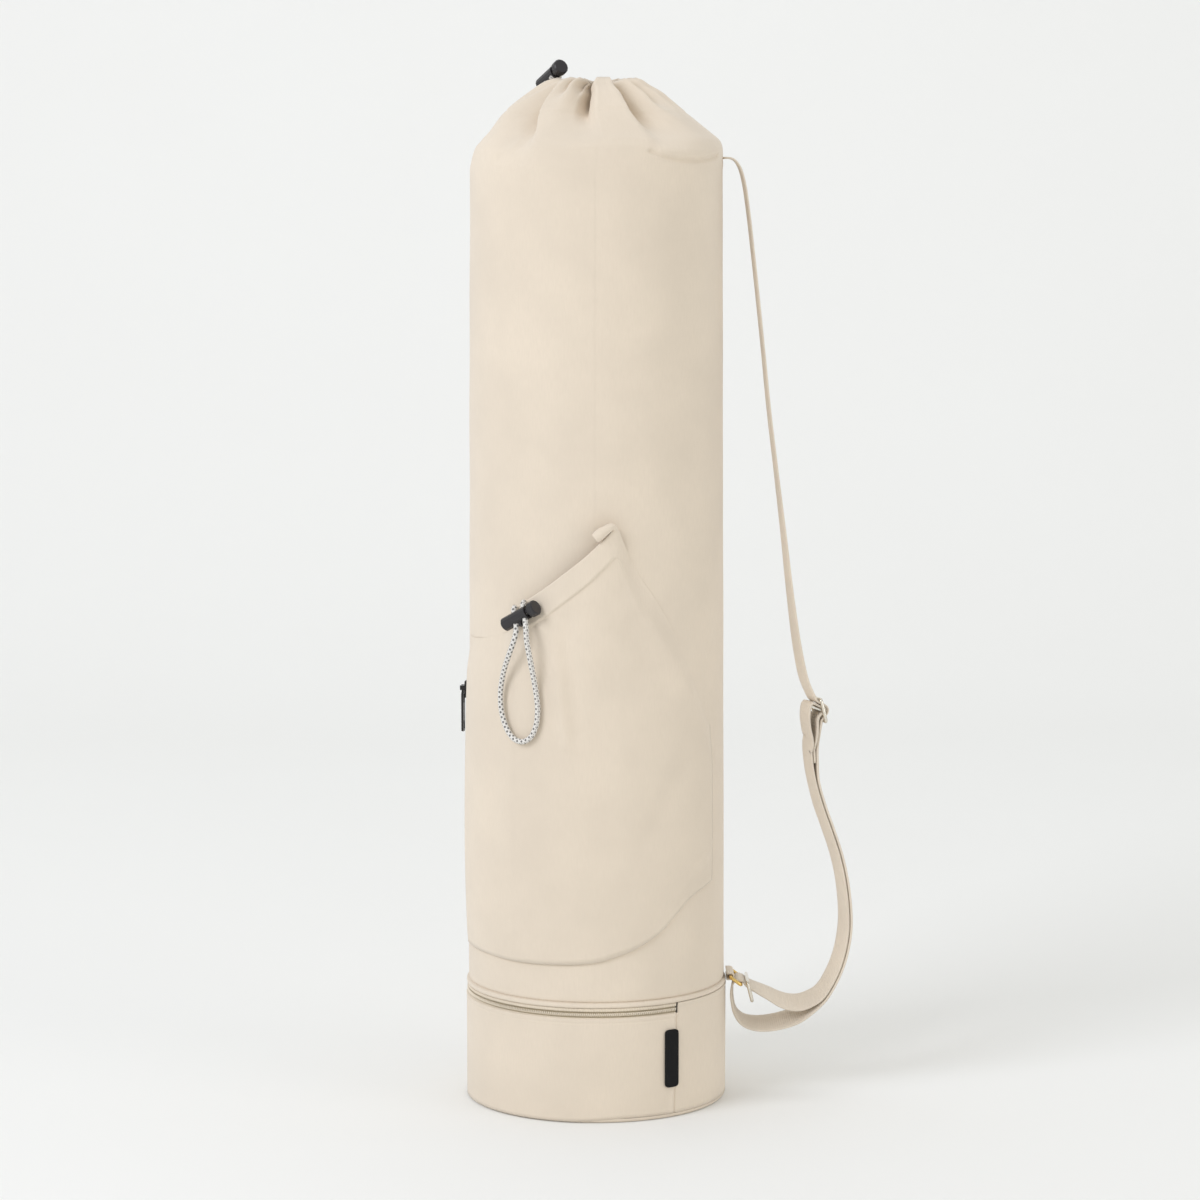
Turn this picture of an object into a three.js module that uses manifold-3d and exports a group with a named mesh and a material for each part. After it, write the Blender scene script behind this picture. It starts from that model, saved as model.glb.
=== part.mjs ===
// Yoga mat bag: a tall cloth tube with a gathered neck, a zipped base compartment, a patch pocket and a strap.
// Millimetres. +Z is up, the front of the bag faces -Y, and the strap is on the +X side.
// The origin is the middle of the bottom face. Angles round the bag are in degrees, 0 at the front, 90 at +X.

import * as THREE from 'three';
import { mergeVertices } from 'three/addons/utils/BufferGeometryUtils.js';
import Module from 'manifold-3d';

const wasm = await Module();
wasm.setup();

// Sizes of the cloth body
const CLEARANCE = 0.3;
const CLOTH = 1.2;
const BAG_RADIUS = 89.2;
const SHOULDER_RADIUS = 86.3;
const SEAM_HEIGHT = 79.8;
const SHOULDER_HEIGHT = 646.3;
const NECK_RISE = 60;
const NECK_FOLD_DEPTH = 9;
const NECK_FOLD_DROP = 3;
const FLOOR_THICKNESS = 1.6;
const FOLD_BAND_HEIGHT = 3.4;
const FOLD_BAND_BULGE = 1.4;
const TUBE_COLUMNS = 72;

// Sizes of the base compartment
const BASE_RADIUS = 90.5;
const BASE_EDGE_RADIUS = 2.8;
const ZIP_GAP = 7;
const ZIP_FRONT_ANGLE = 38;
const ZIP_BACK_ANGLE = -142;
const ZIP_TAPE_WIDTH = 12;
const ZIP_TAPE_THICKNESS = 0.8;
const ZIP_COIL_WIDTH = 4.6;
const ZIP_COIL_HEIGHT = 1.5;
const ZIP_CLEARANCE = 0.36;
const LABEL_WIDTH = 10.6;
const LABEL_LENGTH = 40;
const LABEL_THICKNESS = 1.4;
const LABEL_CORNER = 3;
const LABEL_ANGLE = 34.3;
const LABEL_HEIGHT = 41.8;

// Sizes of the upright side zip
const SIDE_ZIP_ANGLE = -100;
const SIDE_ZIP_BOTTOM = 115;
const SIDE_ZIP_TOP = 303;
const SIDE_PULL_HEIGHT = 284.3;
const PULL_LENGTH = 31;
const PULL_WIDTH = 6.4;
const PULL_THICKNESS = 1.4;
const PULL_PIN_RADIUS = 0.6;
const SLIDER_PLATE_WIDTH = 9;
const SLIDER_PLATE_LENGTH = 12;
const SLIDER_PLATE_THICKNESS = 1.6;

// Sizes of the pocket
const POCKET_STANDOFF = 8;
const POCKET_BELLY = 3.8;
const POCKET_GAP = 0.4;
const HEM_WIDTH = 20;
const HEM_THICKNESS = 2.6;
const POCKET_LOCK_ANGLE = -30.4;
const POCKET_LOCK_HEIGHT = 347.2;
const POCKET_TOP_ABOVE_LOCK = 60.1;
const POCKET_TOP = POCKET_LOCK_HEIGHT + POCKET_TOP_ABOVE_LOCK;
const POCKET_LOCK_RADIUS = 101.2;
const POCKET_LOCK_TILT = 28;
const POCKET_LOCK_LEAN = 4;
const POCKET_LOCK_ROLL = THREE.MathUtils.degToRad(20);

// Sizes of the cord locks and cords
const CORD_DIAMETER = 3.8;
const LOCK_RADIUS = 4.7;
const LOCK_SLEEVE_LENGTH = 22;
const LOCK_WALL = 1.1;
const LOCK_STROKE = 2.2;
const LOCK_HEAD_RADIUS = 5.4;
const LOCK_HEAD_LENGTH = 5.4;
const LOCK_HOLE_SPACING = 8.6;
const LOCK_FIRST_HOLE = 10;
const NECK_LOCK_HEAD = new THREE.Vector3(-23.6, -0.1, 714);
const NECK_LOCK_AXIS = new THREE.Vector3(0.48, -0.77, 0.42).normalize();
const NECK_LOCK_THROUGH = new THREE.Vector3(0.304, 0.595, 0.743);

// Sizes of the strap and its metal parts
const STRAP_WIDTH = 25;
const STRAP_THICKNESS = 1.4;
const SIDE_RADIUS = Math.max(BAG_RADIUS + FOLD_BAND_BULGE, BASE_RADIUS);
const STRAP_INSET = 0.3;
const STRAP_SIDE = SIDE_RADIUS - STRAP_INSET;
const STRAP_TOP_OUT = 4;
const STRAP_TOP_SIDE = SHOULDER_RADIUS + STRAP_TOP_OUT;
const STRAP_REACH = 84;
const STRAP_TOP_HEIGHT = 651.8;
const SLIDER_HEIGHT = 271.6;
const SLIDER_OUT = 63.9;
const SLIDER_TILT = 13.4;
const SLIDER_TWIST = 12;
const SLIDER_BAR_PITCH = 8;
const RING_HEIGHT = 78.9;
const RING_OUT = 10.7;
const RING_DEPTH = 9;
const RING_TILT = 36.9;
const LOOSE_RING_DEPTH = 13.6;
const WIRE_RADIUS = 1.2;
const FRAME_CLEARANCE = 1.2;
const TAB_WIDTH = 23.6;
const TAB_THICKNESS = 1;

const toRadians = THREE.MathUtils.degToRad;
const smoothstep = THREE.MathUtils.smoothstep;
const lerp = THREE.MathUtils.lerp;

// Directions on the bag
function outward(angle) {
  const a = toRadians(angle);
  return new THREE.Vector3(Math.sin(a), -Math.cos(a), 0);
}

function sideways(angle) {
  const a = toRadians(angle);
  return new THREE.Vector3(Math.cos(a), Math.sin(a), 0);
}

function onBag(angle, radius, height) {
  return outward(angle).multiplyScalar(radius).setZ(height);
}

// Radius of the straight tube's outside, which narrows a little towards the shoulder
function tubeRadius(height) {
  const share = (height - SEAM_HEIGHT) / (SHOULDER_HEIGHT - SEAM_HEIGHT);
  return lerp(BAG_RADIUS, SHOULDER_RADIUS, THREE.MathUtils.clamp(share, 0, 1));
}

// Value of a named column, read between the rows of a table
function readTable(table, key, column, at) {
  if (at <= table[0][key]) return table[0][column];
  for (let i = 1; i < table.length; i += 1) {
    const low = table[i - 1];
    const high = table[i];
    if (at <= high[key]) return lerp(low[column], high[column], (at - low[key]) / (high[key] - low[key]));
  }
  return table[table.length - 1][column];
}

// A closed geometry from points and triangles, turned so that its faces point out
function solidGeometry(points, triangles) {
  let volume = 0;
  for (const [a, b, c] of triangles) {
    volume += points[a].dot(new THREE.Vector3().crossVectors(points[b], points[c]));
  }
  const index = triangles.flatMap(([a, b, c]) => (volume < 0 ? [a, c, b] : [a, b, c]));
  const geometry = new THREE.BufferGeometry();
  const flat = points.flatMap((point) => [point.x, point.y, point.z]);
  geometry.setAttribute('position', new THREE.Float32BufferAttribute(flat, 3));
  geometry.setIndex(index);
  return geometry;
}

// A skin through rings of points, closed by a fan at each end, or joined from the last ring to the first
function ringSolid(rings, { closed = false, startCentre = null, endCentre = null } = {}) {
  const count = rings[0].length;
  const points = rings.flat();
  const triangles = [];
  const spans = closed ? rings.length : rings.length - 1;
  for (let r = 0; r < spans; r += 1) {
    const here = r * count;
    const next = ((r + 1) % rings.length) * count;
    for (let i = 0; i < count; i += 1) {
      const j = (i + 1) % count;
      triangles.push([here + i, here + j, next + j], [here + i, next + j, next + i]);
    }
  }
  if (!closed) {
    const first = points.push(startCentre) - 1;
    const last = points.push(endCentre) - 1;
    const lastRing = (rings.length - 1) * count;
    for (let i = 0; i < count; i += 1) {
      const j = (i + 1) % count;
      triangles.push([first, j, i], [last, lastRing + i, lastRing + j]);
    }
  }
  return solidGeometry(points, triangles);
}

// A sheet of cloth between two grids of points with the same rows and columns
function sheetSolid(outer, inner) {
  const columns = outer.length;
  const rows = outer[0].length;
  const points = [...outer.flat(), ...inner.flat()];
  const front = (i, j) => i * rows + j;
  const back = (i, j) => columns * rows + i * rows + j;
  const triangles = [];
  const quad = (a, b, c, d) => triangles.push([a, b, c], [a, c, d]);
  for (let i = 0; i < columns - 1; i += 1) {
    for (let j = 0; j < rows - 1; j += 1) {
      quad(front(i, j), front(i + 1, j), front(i + 1, j + 1), front(i, j + 1));
      quad(back(i, j), back(i, j + 1), back(i + 1, j + 1), back(i + 1, j));
    }
    quad(front(i, 0), back(i, 0), back(i + 1, 0), front(i + 1, 0));
    quad(front(i, rows - 1), front(i + 1, rows - 1), back(i + 1, rows - 1), back(i, rows - 1));
  }
  for (let j = 0; j < rows - 1; j += 1) {
    quad(front(0, j), front(0, j + 1), back(0, j + 1), back(0, j));
    quad(front(columns - 1, j), back(columns - 1, j), back(columns - 1, j + 1), front(columns - 1, j + 1));
  }
  return solidGeometry(points, triangles);
}

// Joining and cutting
function toManifold(geometry) {
  const bare = geometry.clone();
  bare.deleteAttribute('normal');
  bare.deleteAttribute('uv');
  const merged = mergeVertices(bare, 1e-4);
  const index = merged.index.array;
  const kept = [];
  for (let i = 0; i < index.length; i += 3) {
    const [a, b, c] = [index[i], index[i + 1], index[i + 2]];
    if (a !== b && b !== c && c !== a) kept.push(a, b, c);
  }
  const vertProperties = new Float32Array(merged.attributes.position.array);
  return new wasm.Manifold(new wasm.Mesh({ numProp: 3, vertProperties, triVerts: new Uint32Array(kept) }));
}

function fromManifold(solid) {
  const mesh = solid.getMesh();
  const geometry = new THREE.BufferGeometry();
  geometry.setAttribute('position', new THREE.Float32BufferAttribute(mesh.vertProperties, 3));
  geometry.setIndex(Array.from(mesh.triVerts));
  return geometry;
}

function joined(geometries) {
  return geometries.map(toManifold).reduce((a, b) => a.add(b));
}

// A round bar between two points
function barGeometry(from, to, radius, sides = 10) {
  const along = to.clone().sub(from);
  const geometry = new THREE.CylinderGeometry(radius, radius, along.length(), sides);
  const upright = new THREE.Vector3(0, 1, 0);
  const turn = new THREE.Quaternion().setFromUnitVectors(upright, along.clone().normalize());
  geometry.applyQuaternion(turn);
  geometry.translate((from.x + to.x) / 2, (from.y + to.y) / 2, (from.z + to.z) / 2);
  return geometry;
}

// A closed ring of round wire: two parallel bars, joined round the corners by a rail at each end
function wireRing(firstBar, lastBar, barDirection, halfLength) {
  const depth = lastBar.clone().sub(firstBar);
  const down = depth.clone().normalize();
  const out = new THREE.Vector3().crossVectors(down, barDirection);
  const corner = 2;
  const cornerSteps = 3;
  const wireSides = 8;
  const middle = firstBar.clone().add(lastBar).multiplyScalar(0.5);
  const stations = [];
  for (const quarter of [0, 1, 2, 3]) {
    const alongBar = quarter === 0 || quarter === 3 ? 1 : -1;
    const alongRail = quarter < 2 ? 1 : -1;
    for (let i = 0; i <= cornerSteps; i += 1) {
      const a = toRadians(90 * quarter + (90 * i) / cornerSteps);
      const facing = barDirection.clone().multiplyScalar(Math.cos(a)).addScaledVector(down, Math.sin(a));
      const at = middle.clone()
        .addScaledVector(barDirection, alongBar * (halfLength - corner))
        .addScaledVector(down, alongRail * (depth.length() / 2 - corner))
        .addScaledVector(facing, corner);
      stations.push(Array.from({ length: wireSides }, (_, k) => {
        const b = (2 * Math.PI * (k + 0.5)) / wireSides;
        return at.clone()
          .addScaledVector(facing, WIRE_RADIUS * Math.cos(b))
          .addScaledVector(out, WIRE_RADIUS * Math.sin(b));
      }));
    }
  }
  return ringSolid(stations, { closed: true });
}

// Neck folds: each row is one valley of the gathered cloth.
// rim and shoulder are its angles at the two ends, half its half width in degrees,
// depth a share of the fold depth, and reach the share of the neck's rise that it runs down.
const NECK_FOLDS = [
  { rim: -9, shoulder: -8, half: 13, depth: 1.0, reach: 0.72 },
  { rim: 28, shoulder: 34, half: 15, depth: 1.0, reach: 0.86 },
  { rim: 54, shoulder: 52, half: 11, depth: 0.5, reach: 0.42 },
  { rim: 79, shoulder: 76, half: 11, depth: 0.45, reach: 0.5 },
  { rim: 104, shoulder: 106, half: 13, depth: 0.85, reach: 0.8 },
  { rim: 131, shoulder: 128, half: 13, depth: 0.7, reach: 0.6 },
  { rim: 158, shoulder: 160, half: 14, depth: 1.0, reach: 0.86 },
  { rim: 186, shoulder: 184, half: 13, depth: 0.75, reach: 0.6 },
  { rim: 212, shoulder: 210, half: 13, depth: 0.95, reach: 0.8 },
  { rim: 250, shoulder: 250, half: 19, depth: 1.1, reach: 0.55 },
  { rim: 282, shoulder: 282, half: 9, depth: 0.4, reach: 0.35 },
  { rim: 305, shoulder: 318, half: 14, depth: 0.95, reach: 1.0 },
  { rim: 332, shoulder: 332, half: 9, depth: 0.35, reach: 0.3 },
];

// The neck's outline along its ridges: rise is a share of the neck's rise, radius and its shift to +X are shares
// of the shoulder's radius
const NECK_PROFILE = [
  { rise: 0, radius: 1, shift: 0.0035 },
  { rise: 0.12, radius: 0.99, shift: 0.012 },
  { rise: 0.205, radius: 0.978, shift: 0.021 },
  { rise: 0.295, radius: 0.94, shift: 0.034 },
  { rise: 0.385, radius: 0.874, shift: 0.026 },
  { rise: 0.475, radius: 0.812, shift: 0.01 },
  { rise: 0.567, radius: 0.748, shift: -0.006 },
  { rise: 0.657, radius: 0.676, shift: -0.014 },
  { rise: 0.747, radius: 0.6, shift: -0.0145 },
  { rise: 0.837, radius: 0.518, shift: -0.01 },
  { rise: 0.925, radius: 0.42, shift: -0.02 },
  { rise: 0.975, radius: 0.36, shift: -0.01 },
  { rise: 1, radius: 0.3, shift: 0 },
];

function foldDepth(angle, rise) {
  let depth = 0;
  for (const fold of NECK_FOLDS) {
    const middle = lerp(fold.shoulder, fold.rim, rise);
    const away = Math.abs(((angle - middle + 540) % 360) - 180);
    if (away < fold.half) {
      const across = Math.cos((Math.PI / 2) * (away / fold.half)) ** 2;
      depth += fold.depth * across * smoothstep(rise, 1 - fold.reach, 1 - fold.reach * 0.35);
    }
  }
  return depth;
}

function neckPoint(angle, row) {
  const depth = foldDepth(angle, row.rise);
  const radius = row.radius * SHOULDER_RADIUS - NECK_FOLD_DEPTH * depth;
  const height = SHOULDER_HEIGHT + row.rise * NECK_RISE - NECK_FOLD_DROP * depth * row.rise;
  const point = onBag(angle, radius, height);
  point.x += row.shift * SHOULDER_RADIUS;
  return point;
}

// The tube: an outer skin from the base seam to the rim, an inner skin back down to the cloth floor.
// The inner skin follows every second row of the neck.
function makeBodyTube() {
  const angles = Array.from({ length: TUBE_COLUMNS }, (_, i) => (360 * i) / TUBE_COLUMNS);
  const ringAt = (radius, height) => angles.map((angle) => onBag(angle, radius, height));
  const bandTop = SEAM_HEIGHT + FOLD_BAND_HEIGHT;
  const bulge = BAG_RADIUS + FOLD_BAND_BULGE;
  const outer = [
    ringAt(bulge, SEAM_HEIGHT),
    ringAt(bulge, bandTop - FOLD_BAND_BULGE),
    ringAt(tubeRadius(bandTop), bandTop),
  ];
  const straightRows = outer.length;
  for (const row of NECK_PROFILE) outer.push(angles.map((angle) => neckPoint(angle, row)));

  const inner = [];
  for (let r = straightRows; r < outer.length; r += 2) {
    const ring = [];
    for (let i = 0; i < TUBE_COLUMNS; i += 1) {
      const left = outer[r][(i + TUBE_COLUMNS - 1) % TUBE_COLUMNS];
      const right = outer[r][(i + 1) % TUBE_COLUMNS];
      const below = outer[Math.max(r - 1, 0)][i];
      const above = outer[Math.min(r + 1, outer.length - 1)][i];
      const normal = right.clone().sub(left).cross(above.clone().sub(below)).normalize();
      ring.push(outer[r][i].clone().addScaledVector(normal, -CLOTH));
    }
    inner.push(ring);
  }
  const floorTop = SEAM_HEIGHT + FLOOR_THICKNESS;
  const innerFloor = ringAt(BAG_RADIUS - CLOTH, floorTop);
  return ringSolid([...outer, ...inner.reverse(), innerFloor], {
    startCentre: new THREE.Vector3(0, 0, SEAM_HEIGHT),
    endCentre: new THREE.Vector3(0, 0, floorTop),
  });
}

// The base wall: its top edge is lower along the zip
function makeBaseWall() {
  const top = SEAM_HEIGHT - CLEARANCE;
  const zipEdge = top - ZIP_GAP;
  const bottom = BASE_EDGE_RADIUS + CLEARANCE;
  const stepAngle = 0.2;
  const stations = [];
  const zipSteps = 30;
  const plainSteps = 26;
  for (let i = 0; i <= zipSteps; i += 1) {
    stations.push({ angle: lerp(ZIP_BACK_ANGLE, ZIP_FRONT_ANGLE, i / zipSteps), edge: zipEdge });
  }
  for (let i = 0; i <= plainSteps; i += 1) {
    const from = ZIP_FRONT_ANGLE + stepAngle;
    const to = ZIP_BACK_ANGLE + 360 - stepAngle;
    stations.push({ angle: lerp(from, to, i / plainSteps), edge: top });
  }
  const ringAt = (radius, height) => stations.map(({ angle, edge }) => onBag(angle, radius, height ?? edge));
  const inside = BASE_RADIUS - CLOTH;
  return ringSolid([ringAt(BASE_RADIUS, bottom), ringAt(BASE_RADIUS), ringAt(inside), ringAt(inside, bottom)],
    { closed: true });
}

// The base panel: a flat disc with its edge turned up to the seam
function makeBasePanel() {
  const corner = BASE_RADIUS - BASE_EDGE_RADIUS;
  const arcSteps = 3;
  const edgePoint = (radius, step) => {
    const a = toRadians(-90 + (90 * step) / arcSteps);
    return new THREE.Vector2(corner + radius * Math.cos(a), BASE_EDGE_RADIUS + radius * Math.sin(a));
  };
  const profile = [new THREE.Vector2(0, 0)];
  for (let i = 0; i <= arcSteps; i += 1) profile.push(edgePoint(BASE_EDGE_RADIUS, i));
  for (let i = arcSteps; i >= 0; i -= 1) profile.push(edgePoint(BASE_EDGE_RADIUS - CLOTH, i));
  profile.push(new THREE.Vector2(0, CLOTH));
  const geometry = new THREE.LatheGeometry(profile, 54);
  geometry.rotateX(Math.PI / 2);
  return facingOut(geometry);
}

// Turns a closed geometry inside out where its faces point in
function facingOut(geometry) {
  const solid = toManifold(geometry);
  if (solid.volume() > 0) return fromManifold(solid);
  const flipped = geometry.index ? geometry.clone() : mergeVertices(geometry);
  const index = flipped.index.array;
  for (let i = 0; i < index.length; i += 3) [index[i + 1], index[i + 2]] = [index[i + 2], index[i + 1]];
  return fromManifold(toManifold(flipped));
}

// A zip: a tape with a raised row of coil along its middle. The rows run across the tape.
function zipRows(tapeWidth, coilCentre) {
  const half = ZIP_COIL_WIDTH / 2;
  const flank = 0.4;
  const coil = ZIP_TAPE_THICKNESS + ZIP_COIL_HEIGHT;
  return [
    { across: 0, proud: ZIP_TAPE_THICKNESS },
    { across: coilCentre - half, proud: ZIP_TAPE_THICKNESS },
    { across: coilCentre - half + flank, proud: coil },
    { across: coilCentre + half - flank, proud: coil },
    { across: coilCentre + half, proud: ZIP_TAPE_THICKNESS },
    { across: tapeWidth, proud: ZIP_TAPE_THICKNESS },
  ];
}

const BASE_ZIP_INNER = BASE_RADIUS - CLOTH - ZIP_CLEARANCE - ZIP_TAPE_THICKNESS;
const BASE_ZIP_TOP = SEAM_HEIGHT - CLEARANCE;

function makeBaseZip() {
  const bottom = BASE_ZIP_TOP - ZIP_TAPE_WIDTH;
  const coilCentre = ZIP_TAPE_WIDTH - ZIP_GAP / 2;
  const rows = zipRows(ZIP_TAPE_WIDTH, coilCentre);
  const steps = 30;
  const endGap = 0.5;
  const outer = [];
  const inner = [];
  for (let i = 0; i <= steps; i += 1) {
    const angle = lerp(ZIP_BACK_ANGLE + endGap, ZIP_FRONT_ANGLE - endGap, i / steps);
    outer.push(rows.map(({ across, proud }) => onBag(angle, BASE_ZIP_INNER + proud, bottom + across)));
    inner.push(rows.map(({ across }) => onBag(angle, BASE_ZIP_INNER, bottom + across)));
  }
  return sheetSolid(outer, inner);
}

function makeSideZip() {
  const rows = zipRows(ZIP_TAPE_WIDTH, ZIP_TAPE_WIDTH / 2);
  const steps = 4;
  const outer = [];
  const inner = [];
  for (let i = 0; i <= steps; i += 1) {
    const height = lerp(SIDE_ZIP_BOTTOM, SIDE_ZIP_TOP, i / steps);
    const radius = tubeRadius(height) + ZIP_CLEARANCE;
    const at = (across, proud) => {
      const turn = THREE.MathUtils.radToDeg((across - ZIP_TAPE_WIDTH / 2) / radius);
      return onBag(SIDE_ZIP_ANGLE + turn, radius + proud, height);
    };
    outer.push(rows.map(({ across, proud }) => at(across, proud)));
    inner.push(rows.map(({ across }) => at(across, 0)));
  }
  return sheetSolid(outer, inner);
}

// Puts a shape drawn upright on the bag's side: x sideways, y up, z outward, with z = 0 at the given radius
function standOnBag(geometry, angle, radius, height) {
  geometry.applyMatrix4(new THREE.Matrix4().makeBasis(
    sideways(angle), new THREE.Vector3(0, 0, 1), outward(angle)));
  const at = onBag(angle, radius, height);
  geometry.translate(at.x, at.y, at.z);
  return geometry;
}

function roundedShape(width, length, corner) {
  const x = width / 2;
  const y = length / 2;
  const shape = new THREE.Shape();
  shape.moveTo(-x + corner, -y);
  shape.lineTo(x - corner, -y);
  shape.quadraticCurveTo(x, -y, x, -y + corner);
  shape.lineTo(x, y - corner);
  shape.quadraticCurveTo(x, y, x - corner, y);
  shape.lineTo(-x + corner, y);
  shape.quadraticCurveTo(-x, y, -x, y - corner);
  shape.lineTo(-x, -y + corner);
  shape.quadraticCurveTo(-x, -y, -x + corner, -y);
  return shape;
}

function extruded(shape, depth, curveSegments = 4) {
  return new THREE.ExtrudeGeometry(shape, { depth, bevelEnabled: false, curveSegments });
}

// The label is flat, so its back clears the round wall at the middle
function makeLabel() {
  const shape = roundedShape(LABEL_WIDTH, LABEL_LENGTH, LABEL_CORNER);
  const geometry = extruded(shape, LABEL_THICKNESS);
  return standOnBag(geometry, LABEL_ANGLE, BASE_RADIUS + CLEARANCE, LABEL_HEIGHT);
}

// The base zip's slider is hidden behind the bag, so its puller is one piece with it and hangs flat
function makeBaseZipSlider() {
  const plate = extruded(roundedShape(SLIDER_PLATE_WIDTH, ZIP_GAP + 1, 1.5), SLIDER_PLATE_THICKNESS);
  const tongue = extruded(roundedShape(PULL_WIDTH, PULL_LENGTH, 2), PULL_THICKNESS);
  tongue.translate(0, -PULL_LENGTH / 2, 0);
  const angle = ZIP_BACK_ANGLE + 8;
  const height = SEAM_HEIGHT - CLEARANCE - ZIP_GAP / 2;
  const radius = SIDE_RADIUS + CLEARANCE;
  return standOnBag(fromManifold(joined([plate, tongue])), angle, radius, height);
}

// Side zip slider: a plate over the coil, and two lugs that hold the puller's pin
const SIDE_COIL_RADIUS = tubeRadius(SIDE_PULL_HEIGHT) + ZIP_CLEARANCE + ZIP_TAPE_THICKNESS + ZIP_COIL_HEIGHT;
const SIDE_PLATE_RADIUS = SIDE_COIL_RADIUS + CLEARANCE;
const KNUCKLE_BORE = PULL_PIN_RADIUS + CLEARANCE;
const KNUCKLE_RADIUS = KNUCKLE_BORE + 0.7;
const KNUCKLE_WIDTH = 3.6;
const LUG_THICKNESS = 1;
const PIN_RADIUS = SIDE_PLATE_RADIUS + SLIDER_PLATE_THICKNESS + CLEARANCE + KNUCKLE_RADIUS;

function makeSideZipSlider() {
  const pinOut = PIN_RADIUS - SIDE_PLATE_RADIUS;
  const plate = extruded(roundedShape(SLIDER_PLATE_WIDTH, SLIDER_PLATE_LENGTH, 2), SLIDER_PLATE_THICKNESS);
  plate.translate(0, -1, 0);
  const pieces = [plate];
  const lugCentre = KNUCKLE_WIDTH / 2 + CLEARANCE + LUG_THICKNESS / 2;
  for (const side of [-1, 1]) {
    const lug = new THREE.BoxGeometry(LUG_THICKNESS, KNUCKLE_RADIUS * 2, pinOut + KNUCKLE_RADIUS);
    lug.translate(side * lugCentre, 0, (pinOut + KNUCKLE_RADIUS) / 2);
    pieces.push(lug);
  }
  const pinEnd = lugCentre + LUG_THICKNESS / 4;
  pieces.push(barGeometry(new THREE.Vector3(-pinEnd, 0, pinOut), new THREE.Vector3(pinEnd, 0, pinOut),
    PULL_PIN_RADIUS, 12));
  return standOnBag(fromManifold(joined(pieces)), SIDE_ZIP_ANGLE, SIDE_PLATE_RADIUS, SIDE_PULL_HEIGHT);
}

// The puller: a knuckle on the pin and a flat tongue with a window at each end
function makeSideZipPuller() {
  const tongue = roundedShape(PULL_WIDTH, PULL_LENGTH - 3, 2);
  const windowLength = 6;
  const windowWidth = PULL_WIDTH - 3;
  for (const end of [-1, 1]) {
    const middle = end * (PULL_LENGTH / 2 - windowLength / 2 - 3.2);
    const hole = new THREE.Path();
    hole.moveTo(-windowWidth / 2, middle - windowLength / 2);
    hole.lineTo(-windowWidth / 2, middle + windowLength / 2);
    hole.lineTo(windowWidth / 2, middle + windowLength / 2);
    hole.lineTo(windowWidth / 2, middle - windowLength / 2);
    hole.closePath();
    tongue.holes.push(hole);
  }
  const plate = extruded(tongue, PULL_THICKNESS);
  plate.translate(0, -PULL_LENGTH / 2 - 1.5, -PULL_THICKNESS / 2);
  const neck = new THREE.BoxGeometry(KNUCKLE_WIDTH, 4.4, PULL_THICKNESS);
  neck.translate(0, -2.2, 0);
  const pinLine = (half, radius) =>
    barGeometry(new THREE.Vector3(-half, 0, 0), new THREE.Vector3(half, 0, 0), radius, 12);
  const knuckle = pinLine(KNUCKLE_WIDTH / 2, KNUCKLE_RADIUS);
  const bore = pinLine(PULL_WIDTH, KNUCKLE_BORE);
  const solid = joined([plate, neck, knuckle]).subtract(toManifold(bore));
  return standOnBag(fromManifold(solid), SIDE_ZIP_ANGLE, PIN_RADIUS, SIDE_PULL_HEIGHT);
}

// Pocket outline: angle round the bag, bottom and top as shares of the pocket's top height,
// lift a share of the pocket's stand-off at its top edge, belly a share of its bulge half way up,
// hem 1 where the mouth's thick hem runs
const POCKET_OUTLINE = [
  { angle: -80, bottom: 0.2710, top: 0.799, lift: 0.0, belly: 0.45, hem: 0 },
  { angle: -72, bottom: 0.2705, top: 0.799, lift: 0.1, belly: 0.95, hem: 0 },
  { angle: -62, bottom: 0.2695, top: 0.802, lift: 0.18, belly: 1.0, hem: 0 },
  { angle: -50, bottom: 0.2680, top: 0.812, lift: 0.27, belly: 1.0, hem: 0 },
  { angle: -38, bottom: 0.2665, top: 0.827, lift: 0.34, belly: 1.0, hem: 0 },
  { angle: -35.5, bottom: 0.2665, top: 0.863, lift: 0.38, belly: 1.0, hem: 1 },
  { angle: -28, bottom: 0.2670, top: 0.882, lift: 0.5, belly: 1.0, hem: 1 },
  { angle: -20, bottom: 0.2675, top: 0.903, lift: 0.72, belly: 1.0, hem: 1 },
  { angle: -11, bottom: 0.2690, top: 0.931, lift: 0.97, belly: 1.0, hem: 1 },
  { angle: -3, bottom: 0.2719, top: 0.958, lift: 1.0, belly: 1.0, hem: 1 },
  { angle: 4, bottom: 0.2769, top: 0.986, lift: 0.85, belly: 0.95, hem: 1 },
  { angle: 8.2, bottom: 0.2824, top: 1.000, lift: 0.66, belly: 0.9, hem: 1 },
  { angle: 12, bottom: 0.2868, top: 0.974, lift: 0.34, belly: 0.85, hem: 0 },
  { angle: 19, bottom: 0.2977, top: 0.921, lift: 0.14, belly: 0.75, hem: 0 },
  { angle: 27, bottom: 0.3146, top: 0.879, lift: 0.08, belly: 0.6, hem: 0 },
  { angle: 36, bottom: 0.3424, top: 0.827, lift: 0.05, belly: 0.45, hem: 0 },
  { angle: 46, bottom: 0.3711, top: 0.766, lift: 0.03, belly: 0.3, hem: 0 },
  { angle: 55, bottom: 0.3830, top: 0.706, lift: 0.02, belly: 0.15, hem: 0 },
  { angle: 62, bottom: 0.3900, top: 0.653, lift: 0.0, belly: 0.05, hem: 0 },
];

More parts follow.
